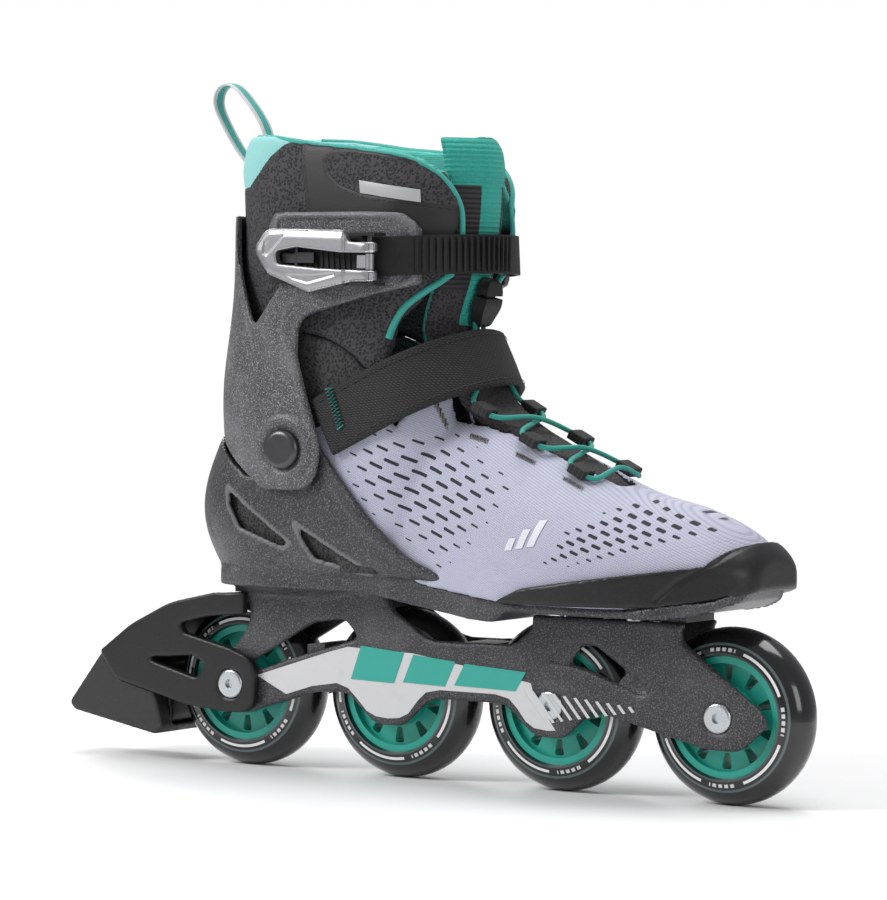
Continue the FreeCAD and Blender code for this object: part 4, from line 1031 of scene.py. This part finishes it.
def strap_frame(grow, count):
    """Centre line of the power strap and its width direction, tilted down to the heel."""
    half = STRAP_HALF + grow
    nose = 41.25 + grow
    turn = STRAP_END * 0.75 - 10
    plan = [(STRAP_END, -half), (turn, -half), (-50, -half)]
    for angle in np.linspace(-math.pi / 2, math.pi / 2, 25):
        plan.append((-40 + nose * math.cos(angle), half * math.sin(angle)))
    plan += [(-50, half), (turn, half), (STRAP_END, half)]
    line = spline([(x, y, 0) for x, y in plan], count)
    cos, sin = math.cos(STRAP_TILT), math.sin(STRAP_TILT)
    path = [(x * cos + 2.5, y, x * sin + 197.5) for x, y, _ in line]
    return path, [(-sin, 0, cos)] * count


def power_strap():
    """Webbing strap with a stitched hem and a teal bar tack at each end."""
    path, ups = strap_frame(0, 200)
    strap = band_piece("instep_strap", path, ups, flat_profile(14.4, 2.3, 0.35, 0.45), STRAP, "chassis")
    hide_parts("power_strap")
    surface, _ = strap_frame(1.75, 320)
    runs = []
    for offset in (-11.2, 11.2):
        for i in range(6, 312, 5):
            runs.append([collect(surface[i + k]) + collect(ups[0]) * offset for k in range(4)])
    thread("strap_stitches", runs, 0.22, BLACK_THREAD, "chassis", segments=4)
    tacks = []
    for side in (-1, 1):
        y = side * 44.3
        tacks.append(zigzag((-53.6, y, 164.6), (-60.6, y, 183), (3.6, 0, 1.6), 24))
    thread("strap_tack", tacks, 0.42, TEAL_THREAD, "chassis", segments=5)


# ------------ lace and loops

def lace_runs():
    """The same route as the CAD lace, as one smooth line."""
    reach, side = 6.8, 21.0
    ends = {}
    for row, (x, z) in enumerate(LOOPS):
        for s in (-1, 1):
            high, low = instep_point(x, z, -reach, 1.2), instep_point(x, z, reach, 1.2)
            ends[s, row] = [(high[0], s * side, high[1]), (low[0], s * side, low[1])]

    def crossing(row, lift):
        (xa, za), (xb, zb) = LOOPS[row], LOOPS[row + 1]
        x, z = instep_point((xa + xb) / 2, (za + zb) / 2, 0, lift)
        return (x, 0, z)

    def tail(s):
        """From the lock down to the first loop."""
        return [(-6.9, s * 3.4, 216), (-5.4, s * 5, 204.5), (1.9, s * 13, 187)]

    first = [*tail(-1), *ends[-1, 0], crossing(0, 4.6), *ends[1, 1], crossing(1, 1.7)]
    toe = [*ends[-1, 2], (69.5, 0, 149.2), *reversed(ends[1, 2])]
    last = [crossing(1, 4.6), *reversed(ends[-1, 1]), crossing(0, 1.7), *reversed(ends[1, 0]),
            *reversed(tail(1))]
    return spline(first + toe + last, 460)


def lace_cord():
    lace = thread("lace_cord", [lace_runs()], 1.2, LACE, "chassis", segments=10)
    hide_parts("lace")


def webbing_loops():
    loops = recast("webbing_loops", ["lace_loops"], 0.5, 4, "chassis", LOOP)
    places, _, _ = vertices_of(loops)
    mark(loops, "along", places[:, 1])
    mark(loops, "across", places[:, 0] * math.cos(INSTEP) - places[:, 2] * math.sin(INSTEP))


# ------------ decal

DECAL_Y = 17.15
DECAL_OUTLINE = [(-117.5, 44.6), (-100.5, 36.6), (-86, 41.3), (-72, 43.6), (-65.5, 41.6), (-60, 36.6),
                 (-55, 31.6), (-50, 29.4), (-43.3, 28.8), (-37, 29.4), (-32, 31.8), (-27, 38),
                 (-22.5, 42.2), (-15, 43.8), (15, 43.8), (22.5, 42.2), (27, 38), (31.5, 32.4),
                 (36, 29.6), (43.3, 28.8), (47.5, 29.2), (35.5, 45), (34, 50), (10, 54), (-30, 60),
                 (-66, 61), (-76, 58.2)]
DECAL_BARS = [(-64, -40), (-35, -12), (-7, 26)]


def flat_piece(name, outlines, y, material, body, thick=0.16):
    """Thin printed foil on a side wall."""
    points, faces = [], []
    for outline in outlines:
        base, count = len(points), len(outline)
        points += [(x, y, z) for x, z in outline]
        points += [(x, y + math.copysign(thick, y), z) for x, z in outline]
        faces.append(tuple(base + k for k in range(count)))
        faces.append(tuple(base + count + k for k in reversed(range(count))))
        for k in range(count):
            m = (k + 1) % count
            faces.append((base + k, base + m, base + count + m, base + count + k))
    mesh = mesh_of(name, points, faces, False)
    cleaned = bmesh.new()
    cleaned.from_mesh(mesh)
    bmesh.ops.recalc_face_normals(cleaned, faces=cleaned.faces)
    bmesh.ops.triangulate(cleaned, faces=[f for f in cleaned.faces if len(f.verts) > 4])
    cleaned.to_mesh(mesh)
    cleaned.free()
    new_piece(name, mesh, material, body)


def decal(side):
    """White foil with slanted stripes and three plain teal bars."""
    y = side * DECAL_Y
    word = "outer" if side < 0 else "inner"
    flat_piece("decal_foil_" + word, [DECAL_OUTLINE], y, WHITE_PRINT, "chassis")
    bars = []
    for k, (left, right) in enumerate(DECAL_BARS):
        low, high = 46.0 + 0.2 * k, 62.0 - 2.6 * k
        bars.append([(left, low), (right, low - 0.6), (right + 5.5, high - 2), (left + 5.5, high)])
    flat_piece("decal_bars_" + word, bars, y + side * 0.18, TEAL_PRINT, "chassis")
    stripes = []
    for k in range(11):
        x = 41.0 + 4.6 * k
        low = 31.5 + 0.95 * k if k < 4 else 35.0 + 0.8 * (k - 4)
        tall = 15.0 - 1.25 * k
        lean = tall * 0.85
        stripes.append([(x, low), (x + 1.5, low + 0.4), (x + 1.5 - lean, low + 0.4 + tall),
                        (x - lean, low + tall)])
    flat_piece("decal_stripes_" + word, stripes, y + side * 0.1, WHITE_PRINT, "chassis")


# ------------ studio

def pale_floor():
    """A disc of pale floor that fades out into the white room."""
    reach, corners = 1.6, 96
    turns = np.linspace(0, 2 * math.pi, corners, endpoint=False)
    rim = [(reach * math.cos(angle), reach * math.sin(angle), 0) for angle in turns]
    floor = bpy.data.meshes.new("floor")
    floor.from_pydata(rim, [], [tuple(range(corners))])
    paper = Look("studio_floor", (0.86, 0.86, 0.86), 0.8, Specular_IOR_Level=0.2)
    paper.rise(paper.noise(3, 2), 0.01)
    floor.materials.append(paper.done())
    squares = paper.total(paper.product(paper.x, paper.x), paper.product(paper.y, paper.y))
    fade = paper.step(paper.maths("SQRT", squares), 420, 1250)
    paper.tree.links.new(paper.invert(fade), paper.shader.inputs["Alpha"])
    ground = bpy.data.objects.new("floor", floor)
    bpy.context.scene.collection.objects.link(ground)


def white_room():
    """Soft even light from all round, seen as plain white."""
    world = bpy.data.worlds.new("studio")
    world.use_nodes = True
    tree = world.node_tree
    fill = tree.nodes["Background"]
    white = tree.nodes.new("ShaderNodeBackground")
    for background, tone, strength in ((fill, (0.97, 0.98, 1), 0.38), (white, (1, 1, 1), 1)):
        background.inputs["Color"].default_value = (*tone, 1)
        background.inputs["Strength"].default_value = strength
    seen = tree.nodes.new("ShaderNodeLightPath")
    choose = tree.nodes.new("ShaderNodeMixShader")
    tree.links.new(seen.outputs["Is Camera Ray"], choose.inputs[0])
    tree.links.new(fill.outputs[0], choose.inputs[1])
    tree.links.new(white.outputs[0], choose.inputs[2])
    tree.links.new(choose.outputs[0], tree.nodes["World Output"].inputs[0])
    bpy.context.scene.world = world


def soft_box(name, place, target, width, height, power):
    light = bpy.data.lights.new(name, "AREA")
    light.shape = "RECTANGLE"
    light.size, light.size_y = width, height
    light.energy = power
    box = bpy.data.objects.new(name, light)
    box.location = place
    box.rotation_euler = (Vector(target) - Vector(place)).to_track_quat("-Z", "Y").to_euler()
    bpy.context.scene.collection.objects.link(box)


def studio():
    pale_floor()
    white_room()
    soft_box("key", (-1.15, -1.25, 1.25), (-0.02, 0, 0.15), 0.7, 0.9, 27)
    soft_box("top", (0.15, 0.25, 1.9), (0, 0, 0.1), 1.5, 1.1, 24)
    soft_box("front", (2, -0.7, 0.7), (0, 0, 0.12), 0.7, 0.9, 7)
    soft_box("rim", (-1.3, 1.3, 1), (-0.05, 0, 0.15), 0.6, 1, 14)


def camera():
    """Long lens in front of the toe's outer side, a little above the ground."""
    azimuth, elevation, roll = (math.radians(a) for a in (31.95, 2.255, 0.7177))
    lens = bpy.data.cameras.new("camera")
    lens.sensor_width = 36.0
    lens.lens = 165.97
    lens.clip_start, lens.clip_end = 0.1, 30.0
    view = bpy.data.objects.new("camera", lens)
    view.location = (0.99779, -1.64039, 0.23028)
    bpy.context.scene.collection.objects.link(view)
    facing = (Matrix.Rotation(azimuth, 4, "Z") @ Matrix.Rotation(math.pi / 2 - elevation, 4, "X")
              @ Matrix.Rotation(roll, 4, "Z"))
    view.rotation_euler = facing.to_euler()
    bpy.context.scene.camera = view


# ------------ assembly

chassis_shell()
brake()
toe_bumper()
cuff_shell()
lever_cast()
ladder_ribs()
boot_surface = knit_upper()
bar_tacks(boot_surface)
side_mark(boot_surface)
collar_surface = collar_pad()
piping("collar_piping", COLLAR_TOP, 1.2, 1.35)
piping("flap_piping", COLLAR_FLAP, 0.6, 1.7)
collar_tag(collar_surface)
tongue_pad()
pull_loop()
power_strap()
lace_cord()
webbing_loops()
decal(-1)
decal(1)
studio()
camera()
bpy.context.scene.view_settings.view_transform = "Standard"
